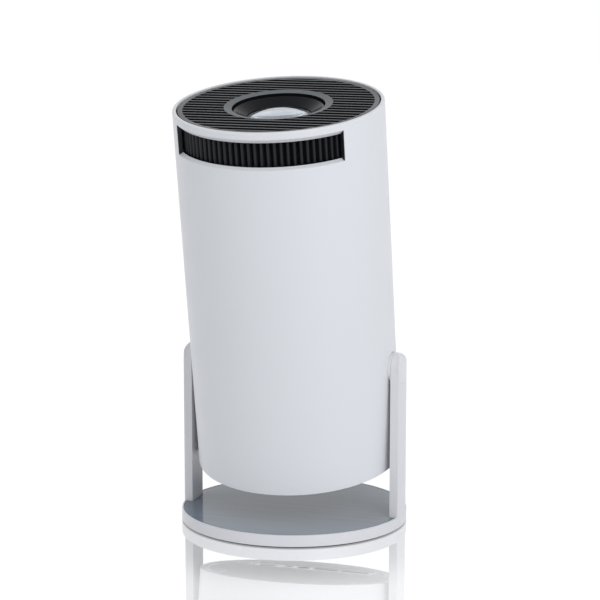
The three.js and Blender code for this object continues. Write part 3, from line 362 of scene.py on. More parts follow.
def noise_at(nodes, links, place, scale, detail=2, roughness=0.5):
    noise = nodes.new("ShaderNodeTexNoise")
    noise.inputs["Scale"].default_value = scale
    noise.inputs["Detail"].default_value = detail
    noise.inputs["Roughness"].default_value = roughness
    links.new(place, noise.inputs["Vector"])
    return noise.outputs["Fac"]


def uneven_gloss(nodes, links, shader, value, low, high):
    """Lets the roughness wander over a range with the middle of a noise."""
    span = nodes.new("ShaderNodeMapRange")
    span.inputs["From Min"].default_value = 0.3
    span.inputs["From Max"].default_value = 0.7
    span.inputs["To Min"].default_value = low
    span.inputs["To Max"].default_value = high
    links.new(value, span.inputs["Value"])
    links.new(span.outputs["Result"], shader.inputs["Roughness"])


def two_tones(nodes, links, shader, value, first, second):
    """Lets the colour wander between two tones."""
    tones = nodes.new("ShaderNodeMix")
    tones.data_type = "RGBA"
    tones.inputs["A"].default_value = (*first, 1)
    tones.inputs["B"].default_value = (*second, 1)
    links.new(value, tones.inputs["Factor"])
    links.new(tones.outputs["Result"], shader.inputs["Base Color"])


def relief(nodes, links, shader, height, strength, depth):
    """Lets a pattern dent the surface."""
    bump = nodes.new("ShaderNodeBump")
    bump.inputs["Strength"].default_value = strength
    bump.inputs["Distance"].default_value = depth
    links.new(height, bump.inputs["Height"])
    links.new(bump.outputs[0], shader.inputs["Normal"])


def satin_white(name, first, second, roughness=0.42):
    """White ABS: a fine spark-eroded grain, a faint cloudiness and slightly uneven gloss."""
    material, nodes, links, shader = finish_material(name, first, roughness)
    place = object_place(nodes, links)
    cloud = noise_at(nodes, links, place, 14, 2)
    two_tones(nodes, links, shader, cloud, first, second)
    smudge = noise_at(nodes, links, place, 60, 3)
    uneven_gloss(nodes, links, shader, smudge, roughness - 0.04, roughness + 0.05)
    grain = noise_at(nodes, links, place, 2600, 1)
    relief(nodes, links, shader, grain, 0.12, 0.00006)
    return material


def dress(node, material):
    """Gives a part that keeps its own shape its finish."""
    piece = frame["nodes"][node]
    piece.data.materials.clear()
    piece.data.materials.append(material)


def arm_envelope():
    """The room that the arms may fill: inside the rim's cylinder, with the heads rolled inwards."""
    room = bar_between("arm_room", (-base_radius - 3, -room_half, -1),
                       (base_radius + 3, room_half, pivot_z))
    middle = bar_between("middle_room", (-tip_start, -room_half, pivot_z - 1),
                         (tip_start, room_half, pivot_z + tip_height))
    shaped_by(room, middle, "UNION")
    for side in (1, -1):
        tip = round_bar("tip", tip_height, -room_half, room_half, 96, "Y")
        narrowed = Matrix.Diagonal((tip_depth / tip_height, 1, 1, 1))
        tip.data.transform(Matrix.Translation((side * tip_start * MM, 0, pivot_z * MM)) @ narrowed)
        shaped_by(room, tip, "UNION")
    return shaped_by(room, round_bar("rim_cylinder", base_radius, -2, 130, 240), "INTERSECT")


tray = turned_on_axis("stand_frame_body", [
    (0, floor_low), (skirt_inner, floor_low), (skirt_inner, rim_low), (base_radius - edge_round, rim_low),
    (base_radius - edge_mid, rim_low + edge_mid), (base_radius, rim_low + edge_round),
    (base_radius, rim_top - edge_round), (base_radius - edge_mid, rim_top - edge_mid),
    (base_radius - edge_round, rim_top), (base_radius - rim_wall, rim_top),
    (base_radius - rim_wall, floor_top), (0, floor_top),
], steps=240)
arms = []
for side in (1, -1):
    near, far = sorted((side * arm_inner, side * (base_radius + 2)))
    head = round_bar("arm_head", arm_half, near, far, 96, "X", (0, 0, pivot_z))
    upright = bar_between("arm", (near, -arm_half, arm_foot), (far, arm_half, pivot_z))
    arms.append(shaped_by(upright, head, "UNION"))
both_arms = joined(arms)
shaped_by(both_arms, arm_envelope(), "INTERSECT")
stand_body = shaped_by(tray, both_arms, "UNION")
for side in (1, -1):
    near, far = sorted((side * cap_recess, side * (base_radius + 4)))
    recess = round_bar("recess", cap_recess_radius, near, far, 96, "X", (0, 0, pivot_z))
    shaped_by(stand_body, recess, "DIFFERENCE")
merged(stand_body)
softened(stand_body, 0)
stand_white = satin_white("stand_white", (0.728, 0.718, 0.728), (0.758, 0.75, 0.758), 0.36)
stand_body.data.materials.append(stand_white)
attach(stand_body, "stand")
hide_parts("stand_frame")


# ---- Base plate: thin glossy sheet let into the tray --------------------------------------------
# Smoke-grey acrylic with a polished top that mirrors the arms. It lies 0.1 mm below the rim, and
# it is notched round both arms. Faint wipe marks run across it from side to side.

plate_radius = base_radius - 1.1
plate_low, plate_top = 5.15, 6.15
notch_inner, notch_half = 51.1, 7.75

smoked = (0.14, 0.175, 0.215)
smoked_acrylic, nodes, links, shader = finish_material("smoked_acrylic", smoked, 0.07, ior=1.28)
place = object_place(nodes, links, (14, 260, 1))
wipe = noise_at(nodes, links, place, 1, 3, 0.6)
uneven_gloss(nodes, links, shader, wipe, 0.05, 0.13)
two_tones(nodes, links, shader, wipe, smoked, (0.195, 0.24, 0.29))
relief(nodes, links, shader, wipe, 0.04, 0.00002)

plate = round_bar("base_plate_sheet", plate_radius, plate_low, plate_top, 240)
for side in (1, -1):
    near, far = sorted((side * notch_inner, side * (base_radius + 2)))
    notch = bar_between("notch", (near, -notch_half, 4), (far, notch_half, 8))
    shaped_by(plate, notch, "DIFFERENCE")
eased(plate, 0.15, 2)
plate.data.materials.append(smoked_acrylic)
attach(plate, "stand")
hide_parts("base_plate")


# ---- Pivot caps: round white covers over the bolts, flush with the arms' outer faces -----------
# Same ABS as the stand. Each one is pressed into the recess of its arm's head, so that only a
# hairline seam shows round it.

cap_inner = 54.75
cap_white = satin_white("cap_white", (0.735, 0.728, 0.738), (0.765, 0.758, 0.768), 0.33)
for side, node in ((1, "pivot_cap_right"), (-1, "pivot_cap_left")):
    near, far = sorted((side * cap_inner, side * (base_radius + 2)))
    cap = round_bar(node + "_cover", arm_half, near, far, 96, "X", (0, 0, pivot_z))
    shaped_by(cap, arm_envelope(), "INTERSECT")
    eased(cap, 0.15)
    cap.data.materials.append(cap_white)
    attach(cap, "stand")
    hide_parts(node)


# ---- Underside: black cover, rubber foot ring, steel weight and three screws --------------------
# The cover closes the tray from below and clamps the steel disc that keeps the stand down. The
# die-cut foot ring is glued in a groove, so that only 0.6 mm of it stands below the rim.

foot_inner, foot_outer, foot_thickness = 42, 50, 0.9

foot_rubber, nodes, links, shader = finish_material("foot_rubber", (0.018, 0.018, 0.02), 0.8)
place = object_place(nodes, links)
dust = noise_at(nodes, links, place, 90, 4, 0.6)
two_tones(nodes, links, shader, dust, (0.014, 0.014, 0.015), (0.03, 0.03, 0.032))
relief(nodes, links, shader, noise_at(nodes, links, place, 1500, 2), 0.3, 0.0001)

foot = turned_on_axis("foot_ring_rubber", [
    (foot_inner, 0), (foot_outer, 0), (foot_outer, foot_thickness), (foot_inner, foot_thickness),
], steps=144)
eased(foot, 0.15, 2)
foot.data.materials.append(foot_rubber)
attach(foot, "stand")
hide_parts("foot_ring")


def matt_black(name, color, roughness=0.5, grain_size=1900, grain_depth=0.0001, shine=0.5):
    """Black moulded plastic with a sandy grain that breaks up its gloss."""
    material, nodes, links, shader = finish_material(name, color, roughness, shine=shine)
    place = object_place(nodes, links)
    patchy = noise_at(nodes, links, place, 40, 3)
    lighter = tuple(c * 1.5 + 0.002 for c in color)
    two_tones(nodes, links, shader, patchy, color, lighter)
    uneven_gloss(nodes, links, shader, patchy, roughness - 0.05, roughness + 0.06)
    relief(nodes, links, shader, noise_at(nodes, links, place, grain_size, 1), 0.2, grain_depth)
    return material


def machined(name, color, roughness, stretch):
    """Bare metal with fine tool marks along one direction."""
    material, nodes, links, shader = finish_material(name, color, roughness, metallic=1)
    marks = noise_at(nodes, links, object_place(nodes, links, stretch), 1, 3, 0.7)
    uneven_gloss(nodes, links, shader, marks, roughness - 0.08, roughness + 0.12)
    darker = tuple(c * 0.82 for c in color)
    two_tones(nodes, links, shader, marks, darker, color)
    relief(nodes, links, shader, marks, 0.1, 0.00003)
    return material


cover_black = matt_black("cover_black", (0.016, 0.017, 0.019))
zinc_steel = machined("zinc_plated_steel", (0.56, 0.57, 0.58), 0.33, (900, 900, 120))
dress("base_cover", cover_black)
dress("base_weight", zinc_steel)
for index in (1, 2, 3):
    dress(f"base_screw_{index}", zinc_steel)


# ---- Barrel shell: white tube with the slot for the focus ring ----------------------------------
# Moulded ABS, 2.2 mm thick, with the same satin grain as the stand. The slot's lips slope inwards,
# its ends are square, and the front edge is rolled over.

shell_radius, bore_radius = 50.5, 48.3
shell_rear, shell_front = -49.5, 131.8
front_bore, rebate_floor = 48.75, 128.8
lip_low, lip_high = 113.9, 128.5
low_slope, high_slope = 1.1, 2.0
slot_half_angle = 54
front_round = 0.75
lining_thickness, lining_gap = 0.5, 0.15
pad_inner, pad_outer = 49.7, 51.28
pad_seat, pad_seat_radius = 49.6, arm_half + 0.25


def leant(piece):
    """Puts a piece that was made upright, about the tilt axis, where the leaning barrel holds it."""
    take_up(piece)
    piece.data.transform(Matrix.Translation(pivot) @ Matrix.Rotation(lean, 4, "X"))
    return piece


def angle_from_slot(point):
    """Degrees round the barrel from the middle of the slot."""
    return abs(math.degrees(math.atan2(point.x, -point.y)))


def select_none(piece, kind):
    """Opens the mesh for selecting points, edges or faces, with nothing selected."""
    take_up(piece)
    bpy.ops.object.mode_set(mode="EDIT")
    bpy.ops.mesh.select_mode(type=kind)
    bpy.ops.mesh.select_all(action="DESELECT")


def select_faces(piece, wanted):
    """Leaves edit mode open with the faces selected whose centres are wanted."""
    select_none(piece, "FACE")
    bpy.ops.object.mode_set(mode="OBJECT")
    for face in piece.data.polygons:
        face.select = wanted(face.center)
    bpy.ops.object.mode_set(mode="EDIT")


def select_open_edges(piece):
    """Leaves edit mode open with the edges of every hole selected."""
    select_none(piece, "EDGE")
    bpy.ops.mesh.select_non_manifold(use_wire=False, use_boundary=True, use_multi_face=False,
                                     use_non_contiguous=False, use_verts=False)


front_curve = [
    (shell_radius - front_round * (1 - math.cos(a)), shell_front - front_round * (1 - math.sin(a)))
    for a in (math.radians(15 * k) for k in range(1, 6))
]
shell = turned_on_axis("barrel_tube", [
    (bore_radius, shell_rear), (shell_radius, shell_rear), (shell_radius, lip_low),
    (shell_radius, lip_high), (shell_radius, shell_front - front_round), *front_curve,
    (shell_radius - front_round, shell_front), (front_bore, shell_front), (front_bore, rebate_floor),
    (bore_radius, rebate_floor), (bore_radius, lip_high - high_slope), (bore_radius, lip_low + low_slope),
])


def in_slot(point):
    radius = math.hypot(point.x, point.y) / MM
    if angle_from_slot(point) > slot_half_angle:
        return False
    inside = radius < (bore_radius + shell_radius) / 2
    above, below = (low_slope, high_slope) if inside else (0, 0)
    return lip_low + above < point.z / MM < lip_high - below


select_faces(shell, in_slot)
bpy.ops.mesh.delete(type="FACE")
select_open_edges(shell)
bpy.ops.mesh.bridge_edge_loops()
face_outwards()
for side in (1, -1):
    near, far = sorted((side * pad_seat, side * (shell_radius + 1.5)))
    shaped_by(shell, round_bar("pad_seat", pad_seat_radius, near, far, 96, "X"), "DIFFERENCE")
softened(shell, 0.2)
shell_white = satin_white("shell_white", (0.758, 0.761, 0.766), (0.778, 0.78, 0.785), 0.4)
shell.data.materials.append(shell_white)
leant(shell)
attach(shell, "barrel")
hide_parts("barrel_shell")

lining_black = matt_black("lining_black", (0.01, 0.0105, 0.012), 0.45, 1500, 0.00006, shine=0.3)
for side, name in ((1, "slot_lining_right"), (-1, "slot_lining_left")):
    lining = bar_between(name, (bore_radius + 0.05, 0, lip_low + lining_gap),
                         (shell_radius - 0.1, lining_thickness, lip_high - lining_gap))
    take_up(lining)
    for vertex in lining.data.vertices:
        if vertex.co.x < bore_radius * MM + 0.001:
            lower = vertex.co.z < (lip_low + lip_high) / 2 * MM
            vertex.co.z += (low_slope if lower else -high_slope) * MM
    if side > 0:
        lining.data.transform(Matrix.Translation((0, -lining_thickness * MM, 0)))
    lining.data.transform(Matrix.Rotation(math.radians(side * slot_half_angle - 90), 4, "Z"))
    softened(lining, 0.08, 2)
    lining.data.materials.append(lining_black)
    leant(lining)
    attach(lining, "barrel")

for side, name in ((1, "pivot_pad_right"), (-1, "pivot_pad_left")):
    near, far = sorted((side * pad_inner, side * pad_outer))
    pad = round_bar(name, arm_half, near, far, 96, "X")
    eased(pad, 0.1, 2)
    pad.data.materials.append(shell_white)
    leant(pad)
    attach(pad, "barrel")
    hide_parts("barrel_shell")


# ---- Front grille: rim, twenty-two slats and the sloping lens surround, one black moulding ------
# Black ABS. The slats are flat bars with broken edges that run from side to side, 4.17 mm apart,
# and the surround slopes down towards the lens and is blasted a little greyer.

grille_top = 131.3
grille_low = 128.9
flange_outer, flange_top = 48.65, 130.3
rim_outer, rim_inner_edge = 48.0, 45.7
slat_pitch = 4.17
slat_width = 1.9
slat_round = 0.6
surround_inner, surround_outer = 22.3, 26.0
surround_low = 128.4
surround_drop = 0.7
ring_proud = 0.02
bar_overlap = 0.12


def slat_bars(name, low, high, radius, rounding):
    """One bar with rounded edges, copied across a disc and trimmed to its chord."""
    bars = []
    half_rows = round(radius / slat_pitch)
    for row in range(-half_rows, half_rows):
        y = (row + 0.5) * slat_pitch
        reach = math.sqrt(radius ** 2 - (abs(y) - slat_width / 2) ** 2) + 0.7
        bar = bar_between(name, (-reach, y - slat_width / 2, low), (reach, y + slat_width / 2, high))
        with_modifier(bar, "BEVEL", width=rounding * MM, segments=3, limit_method="ANGLE")
        bars.append(bar)
    return joined(bars)


grille_bars = slat_bars("grille_bars", grille_low, grille_top, rim_inner_edge, slat_round)
mouth = round_bar("lens_mouth", surround_outer - bar_overlap, 120, 140, 144)
shaped_by(grille_bars, mouth, "DIFFERENCE")
grille = turned_on_axis("front_grille_moulding", [
    (rim_inner_edge, grille_low - 0.05), (flange_outer, grille_low - 0.05), (flange_outer, flange_top),
    (rim_outer, flange_top), (rim_outer, grille_top + ring_proud),
    (rim_inner_edge, grille_top + ring_proud),
])
surround = turned_on_axis("surround", [
    (surround_inner, surround_low), (surround_outer, surround_low),
    (surround_outer, grille_top + ring_proud), (surround_inner, grille_top - surround_drop),
], steps=144)
shaped_by(grille, surround, "UNION")
shaped_by(grille, grille_bars, "UNION")
merged(grille)
softened(grille, 0)

slat_black = matt_black("slat_black", (0.014, 0.0175, 0.022), 0.34, 2400, 0.00005)
surround_grey = matt_black("surround_grey", (0.07, 0.078, 0.086), 0.5, 2100, 0.00008)
# slat_shade is painted shade: a darker copy of the slats' black with almost no gloss. It stands in for the
# shade in the gaps between the slats and under the shell's front edge.
slat_shade = matt_black("slat_shade", (0.003, 0.003, 0.004), 0.7, 1500, 0.00005, shine=0.04)
for finish in (slat_black, surround_grey, slat_shade):
    grille.data.materials.append(finish)
for face in grille.data.polygons:
    reach = math.hypot(face.center.x, face.center.y) / MM
    if surround_inner - 0.1 < reach < surround_outer + 0.1 and face.normal.z > 0.6:
        face.material_index = 1
    # The slats' sides and bevels, and the flange outside the rim, get the painted shade.
    elif face.normal.z < 0.9 or reach > rim_outer + 0.1:
        face.material_index = 2
leant(grille)
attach(grille, "barrel")
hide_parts("front_grille")


# ---- Focus ring: ribbed black rim, web with windows and a hub with three cam slots ---------------
# Moulded black nylon. Ninety-six rounded ribs give the fingertip its grip, the web joins the rim
# to the hub, and the hub's rising slots drive the lens pins in and out.

rib_count = 96
rib_top = 47.3
rib_depth = 2.2
rib_shape = (0, 0.03, 0.2, 0.8, 1, 0.8, 0.2, 0.03)
columns = len(rib_shape)
rim_top_place, rim_low_place = 128.0, 114.2
rim_inner = 44.0
rim_edge = 0.5
window_count = 6
window_inner, window_outer = 29.45, 41
window_half_angle = 22
hub_outer, hub_inner = 26.45, 23.95
web_top, web_low = 121.5, 119.5
hub_top, hub_low = 125.5, 108.0
pin_height = 113.75
cam_height = 3.1
cam_sweep = 88
cam_rise = 4.3

focus = turned_on_axis("focus_ring_ribbed", [
    (rib_top - rim_edge, rim_low_place), (rib_top, rim_low_place + rim_edge),
    (rib_top, rim_top_place - rim_edge), (rib_top - rim_edge, rim_top_place),
    (rim_inner, rim_top_place), (rim_inner, web_top), (window_outer, web_top),
    (window_inner, web_top), (hub_outer, web_top), (hub_outer, hub_top), (hub_inner, hub_top),
    (hub_inner, hub_low), (hub_outer, hub_low), (hub_outer, web_low), (window_inner, web_low),
    (window_outer, web_low), (rim_inner, web_low), (rim_inner, rim_low_place),
], steps=rib_count * columns)
for column, drop in enumerate(rib_shape):
    if drop == 0:
        continue
    scale_down = (rib_top - rib_depth * drop) / rib_top
    select_none(focus, "VERT")
    bpy.ops.object.mode_set(mode="OBJECT")
    for vertex in focus.data.vertices:
        turn = round(math.degrees(math.atan2(vertex.co.y, vertex.co.x)) / 360 * rib_count * columns)
        outer = math.hypot(vertex.co.x, vertex.co.y) > (rib_top - rim_edge - 0.1) * MM
        vertex.select = outer and turn % columns == column
    bpy.ops.object.mode_set(mode="EDIT")
    bpy.ops.transform.resize(value=(scale_down, scale_down, 1), center_override=(0, 0, 0))
    bpy.ops.object.mode_set(mode="OBJECT")


def in_web_window(point):
    radius = math.hypot(point.x, point.y) / MM
    pitch = 360 / window_count
    from_middle = math.degrees(math.atan2(point.y, point.x)) % pitch - pitch / 2
    on_web = abs(point.z / MM - web_top) < 0.1 or abs(point.z / MM - web_low) < 0.1
    return on_web and window_inner < radius < window_outer and abs(from_middle) < window_half_angle


select_faces(focus, in_web_window)
bpy.ops.mesh.delete(type="FACE")
bpy.ops.object.mode_set(mode="OBJECT")
for window in range(window_count):
    middle = (window + 0.5) * 360 / window_count
    select_open_edges(focus)
    bpy.ops.object.mode_set(mode="OBJECT")
    for edge in focus.data.edges:
        first, second = (focus.data.vertices[i].co for i in edge.vertices)
        turn = math.degrees(math.atan2(first.y + second.y, first.x + second.x))
        away = abs((turn - middle + 180) % 360 - 180)
        edge.select = edge.select and away < window_half_angle + 6
    bpy.ops.object.mode_set(mode="EDIT")
    bpy.ops.mesh.bridge_edge_loops()
    bpy.ops.object.mode_set(mode="OBJECT")
for pin_angle in (90, 210, 330):
    clear_selection()
    bpy.ops.mesh.primitive_plane_add(size=1)
    cam = bpy.context.object
    cam_start = Vector(((hub_inner + hub_outer) / 2, 0, pin_height + cam_rise / 2)) * MM
    cam.data.transform(Matrix.Diagonal(((hub_outer - hub_inner + 2) * MM, cam_height * MM, 1, 1)))
    cam.data.transform(Matrix.Rotation(math.pi / 2, 4, "X"))
    cam.data.transform(Matrix.Translation(cam_start))
    cam.data.transform(Matrix.Rotation(math.radians(pin_angle - cam_sweep / 2), 4, "Z"))
    with_modifier(cam, "SCREW", axis="Z", angle=math.radians(cam_sweep), screw_offset=-cam_rise * MM,
                  steps=24, render_steps=24)
    take_up(cam)
    bpy.ops.object.mode_set(mode="EDIT")
    bpy.ops.mesh.select_all(action="SELECT")
    bpy.ops.mesh.fill_holes(sides=0)
    face_outwards()
    shaped_by(focus, cam, "DIFFERENCE")
take_up(focus)
bpy.ops.object.mode_set(mode="EDIT")
face_outwards()
bpy.ops.object.shade_smooth_by_angle(angle=math.radians(50))
with_modifier(focus, "WEIGHTED_NORMAL", keep_sharp=True)
grip_black = matt_black("grip_black", (0.0068, 0.0078, 0.0096), 0.4, 1800, 0.00008, shine=0.23)
focus.data.materials.append(grip_black)
leant(focus)
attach(focus, "focus_wheel")
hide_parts("focus_ring")


# ---- Projection lens: funnel-shaped trim and the coated glasses ----------------------------------
# The funnel is glossy black and screws the big front glass into its barrel. The glass bulges
# forward and its coating throws back a bright light at a low angle.

funnel = turned_on_axis("lens_trim_funnel", [
    (15.6, 125.8), (20.2, 125.8), (20.2, 128.2), (21.6, 128.2), (21.6, 129.4), (20.8, 129.4),
], steps=144)
softened(funnel, 0.12, 2)
funnel_black = matt_black("funnel_black", (0.004, 0.0045, 0.006), 0.2, 700, 0.00003, shine=0.1)
funnel.data.materials.append(funnel_black)
leant(funnel)
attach(funnel, "lens")
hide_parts("lens_trim")


def ground_glass(name, radius, low, high, rear_bulge, front_bulge, steps=120, rings=14):
    """A polished lens about the barrel's axis: edge between two places, each face a shallow dome."""
    shares = [k / rings for k in range(rings + 1)]
    rear = [(radius * s, low - rear_bulge * (1 - s * s)) for s in shares]
    front = [(radius * s, high + front_bulge * (1 - s * s)) for s in reversed(shares)]
    glass = turned_on_axis(name, rear + front, steps=steps)
    take_up(glass)
    bpy.ops.object.shade_smooth_by_angle(angle=math.radians(30))
    return leant(glass)


def coated_glass(name, tint, reflecting):
    """Crown glass whose coating turns mirror-like at a grazing angle."""
    material, nodes, links, shader = finish_material(name, tint, 0.0, ior=1.5)
    shader.inputs["Transmission Weight"].default_value = 1
    shader.inputs["Coat Weight"].default_value = reflecting
    shader.inputs["Coat Roughness"].default_value = 0.02
    shader.inputs["Coat IOR"].default_value = 2.2
    shader.inputs["Coat Tint"].default_value = (0.93, 0.96, 1, 1)
    haze = noise_at(nodes, links, object_place(nodes, links), 120, 3)
    uneven_gloss(nodes, links, shader, haze, 0.015, 0.04)
    return material


front_coat = coated_glass("front_lens_coating", (0.53, 0.555, 0.585), 1.0)
inner_coat = coated_glass("inner_lens_coating", (0.9, 0.93, 0.96), 0.3)
for node, radius, low, high, rear_bulge, front_bulge, coat in (
    ("front_lens", 17.2, 121.955, 124.755, 0, 4.2, front_coat),
    ("middle_lens", 12, 113.155, 117.155, -1.2, -1.2, inner_coat),
    ("rear_lens", 17.2, 103.3, 106.3, 2.6, 2.6, inner_coat),
):
    glass = ground_glass(node + "_ground", radius, low, high, rear_bulge, front_bulge)
    glass.data.materials.append(coat)
    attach(glass, "lens")
    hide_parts(node)


# ---- Rear cover: the same slats as the front, a frame for the port panel and four screws ---------
# White ABS like the shell. Four steel screws with cross recesses sit sunk in round bosses and run
# into posts on the fan bracket, which hold the cover on the barrel's rear end.

cover_outer = -49.2
cover_inner = -46.4
cover_radius = 48.0
panel_row, panel_half, panel_deep = 23.47, 31.3, 6.3
panel_frame = 2.0
boss_radius, screw_hole_radius = 4.2, 1.5
head_recess_radius, head_recess_depth = 2.9, 1.6
screw_places = [(x, y) for x in (36.2, -36.2) for y in (22.08, -22.08)]

cover = turned_on_axis("rear_cover_moulding", [
    (rim_inner_edge, cover_outer), (cover_radius, cover_outer), (cover_radius, cover_inner),
    (rim_inner_edge, cover_inner),
])
cover_bars = slat_bars("cover_bars", cover_outer + 0.06, cover_inner - 0.06, rim_inner_edge, 0.3)
shaped_by(cover, cover_bars, "UNION")
frame_deep = panel_deep + panel_frame
outer_frame = bar_between(
    "panel_frame", (-panel_half - panel_frame, panel_row - frame_deep, cover_outer + 0.02),
    (panel_half + panel_frame, panel_row + frame_deep, cover_inner - 0.02))
shaped_by(cover, outer_frame, "UNION")
for x, y in screw_places:
    boss = round_bar("boss", boss_radius, cover_outer + 0.04, cover_inner - 0.04, 64, "Z", (x, y, 0))
    shaped_by(cover, boss, "UNION")
panel_window = bar_between("panel_window", (-panel_half, panel_row - panel_deep, cover_outer - 1),
                           (panel_half, panel_row + panel_deep, cover_inner + 1))
shaped_by(cover, panel_window, "DIFFERENCE")
for x, y in screw_places:
    for drill_radius, drill_end in (
        (screw_hole_radius, cover_inner + 1), (head_recess_radius, cover_outer + head_recess_depth),
    ):
        drill = round_bar("drill", drill_radius, cover_outer - 1, drill_end, 48, "Z", (x, y, 0))
        shaped_by(cover, drill, "DIFFERENCE")
merged(cover)
softened(cover, 0)
cover_white = satin_white("cover_white", (0.758, 0.761, 0.766), (0.778, 0.78, 0.785), 0.46)
cover.data.materials.append(cover_white)
leant(cover)
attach(cover, "barrel")
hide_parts("rear_cover")

head_radius, head_top, head_under = 2.6, -48.9, -47.9
cross_half, cross_width, cross_depth = 1.5, 0.32, 0.6
shank_radius, groove_radius = 1.2, 0.95
shank_start, shank_tip = -48.2, -37.7
first_groove, groove_pitch = -47.5, 0.8
screw_steel = machined("screw_steel", (0.5, 0.5, 0.51), 0.28, (1500, 1500, 300))
for index, (x, y) in enumerate(screw_places, start=1):
    screw = round_bar(f"cover_screw_{index}", head_radius, head_top, head_under, 48)
    for turn in (0, math.pi / 2):
        cross = bar_between("cross", (-cross_half, -cross_width, head_top - 1),
                            (cross_half, cross_width, head_top + cross_depth))
        cross.data.transform(Matrix.Rotation(turn + 0.35 * index, 4, "Z"))
        shaped_by(screw, cross, "DIFFERENCE")
    outline = [(0, shank_start), (shank_radius, shank_start)]
    for groove in range(12):
        start = first_groove + groove_pitch * groove
        outline += [(shank_radius, start), (groove_radius, start + groove_pitch / 2)]
    outline += [(shank_radius, shank_tip - 0.2), (shank_radius - 0.2, shank_tip), (0, shank_tip)]
    shaped_by(screw, turned_on_axis("shank", outline, steps=32), "UNION")
    screw.data.transform(Matrix.Translation((x * MM, y * MM, 0)))
    eased(screw, 0.1, 2)
    screw.data.materials.append(screw_steel)
    leant(screw)
    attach(screw, "barrel")
    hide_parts(f"rear_screw_{index}")


# ---- Port panel: glossy strip with the holes for button, light and sockets ----------------------
# Polished black plastic let into the rear cover's frame. The sockets behind it are a bored black
# body for sound and power, and folded steel shells with a tongue for the two digital ones.

panel_outer, panel_inner = -49.0, -47.0
socket_rear, socket_front = -46.7, -38.0
socket_back_wall, tongue_inset = 1.2, 0.6
button_x, light_x, audio_x, dc_x, usb_x, hdmi_x = -24.75, -18.25, -13.25, -5.15, 6.85, 22.15

panel = bar_between("port_panel_strip", (-31, panel_row - 6, panel_outer), (31, panel_row + 6, panel_inner))
for x, radius in ((button_x, 4.5), (light_x, 1.5), (audio_x, 2.4), (dc_x, 3.5)):
    hole = round_bar("hole", radius, panel_outer - 1, panel_inner + 1, 64, "Z", (x, panel_row, 0))
    shaped_by(panel, hole, "DIFFERENCE")
for x, half_x, half_y in ((usb_x, 6.6, 2.9), (hdmi_x, 7.3, 2.6)):
    hole = bar_between("hole", (x - half_x, panel_row - half_y, panel_outer - 1),
                       (x + half_x, panel_row + half_y, panel_inner + 1))
    shaped_by(panel, hole, "DIFFERENCE")
eased(panel, 0.25, 3)
panel_gloss = matt_black("panel_gloss", (0.010, 0.0105, 0.012), 0.13, 500, 0.00002)
panel.data.materials.append(panel_gloss)
leant(panel)
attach(panel, "barrel")
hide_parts("port_panel")

socket_black = matt_black("socket_black", (0.02, 0.02, 0.022), 0.35, 1500, 0.00005)
for name, x, body_half, bore, pin in (
    ("audio_socket", audio_x, 3.2, 1.8, 0), ("dc_socket", dc_x, 4.3, 2.9, 1.0),
):
    socket = bar_between(name + "_body", (x - body_half, panel_row - body_half, socket_rear),
                         (x + body_half, panel_row + body_half, socket_front))
    drill = round_bar("drill", bore, socket_rear - 1, socket_front - socket_back_wall, 64, "Z",
                      (x, panel_row, 0))
    shaped_by(socket, drill, "DIFFERENCE")
    if pin:
        centre = round_bar("pin", pin, socket_rear + tongue_inset, socket_front - tongue_inset, 32, "Z",
                           (x, panel_row, 0))
        shaped_by(socket, centre, "UNION")
    eased(socket, 0.15, 2)
    socket.data.materials.append(socket_black)
    leant(socket)
    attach(socket, "barrel")
    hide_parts(name)

shell_steel = machined("shell_steel", (0.6, 0.6, 0.61), 0.24, (300, 1600, 300))
tongue_black = matt_black("tongue_black", (0.03, 0.03, 0.033), 0.5)
for name, x, half_x, half_y, wall, tongue_x, tongue_y in (
    ("usb_socket", usb_x, 6.3, 2.6, 0.8, 5.5, 0.9), ("hdmi_socket", hdmi_x, 7.0, 2.3, 0.6, 5.4, 0.4),
):
    socket = bar_between(name + "_shell", (x - half_x - wall, panel_row - half_y - wall, socket_rear),
                         (x + half_x + wall, panel_row + half_y + wall, socket_front))
    cavity = bar_between("cavity", (x - half_x, panel_row - half_y, socket_rear - 1),
                         (x + half_x, panel_row + half_y, socket_front - socket_back_wall))
    shaped_by(socket, cavity, "DIFFERENCE")
    tongue = bar_between("tongue", (x - tongue_x, panel_row - tongue_y, socket_rear + tongue_inset),
                         (x + tongue_x, panel_row + tongue_y, socket_front - tongue_inset))
    shaped_by(socket, tongue, "UNION")
    eased(socket, 0.15, 2)
    socket.data.materials.append(shell_steel)
    socket.data.materials.append(tongue_black)
    for face in socket.data.polygons:
        on_tongue_x = abs(face.center.x / MM - x) < tongue_x + 0.05
        on_tongue_y = abs(face.center.y / MM - panel_row) < tongue_y + 0.05
        if on_tongue_x and on_tongue_y and face.center.z / MM < socket_front - tongue_inset - 0.1:
            face.material_index = 1
    leant(socket)
    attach(socket, "barrel")
    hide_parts(name)


# ---- Power button and status light: at the end of the port panel ---------------------------------
# The button is a moulded black cap with a dished face, a flange that keeps it in the panel and a
# stem onto the switch. The light is a clear acrylic rod that ends flush with the panel.

button = turned_on_axis("power_button_cap", [
    (0, -48.95), (1.5, -48.98), (2.8, -49.08), (3.7, -49.26), (3.95, -49.3), (4.2, -49.1),
    (4.2, -46.7), (5.0, -46.7), (5.0, -45.5), (1.5, -45.5), (1.5, -43.6), (0, -43.6),
], steps=96)
softened(button, 0.12, 2, 40)
button.data.transform(Matrix.Translation((button_x * MM, panel_row * MM, 0)))
button_black = matt_black("button_black", (0.014, 0.0145, 0.016), 0.2, 900, 0.00003)
button.data.materials.append(button_black)
leant(button)
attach(button, "button")
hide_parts("power_button")

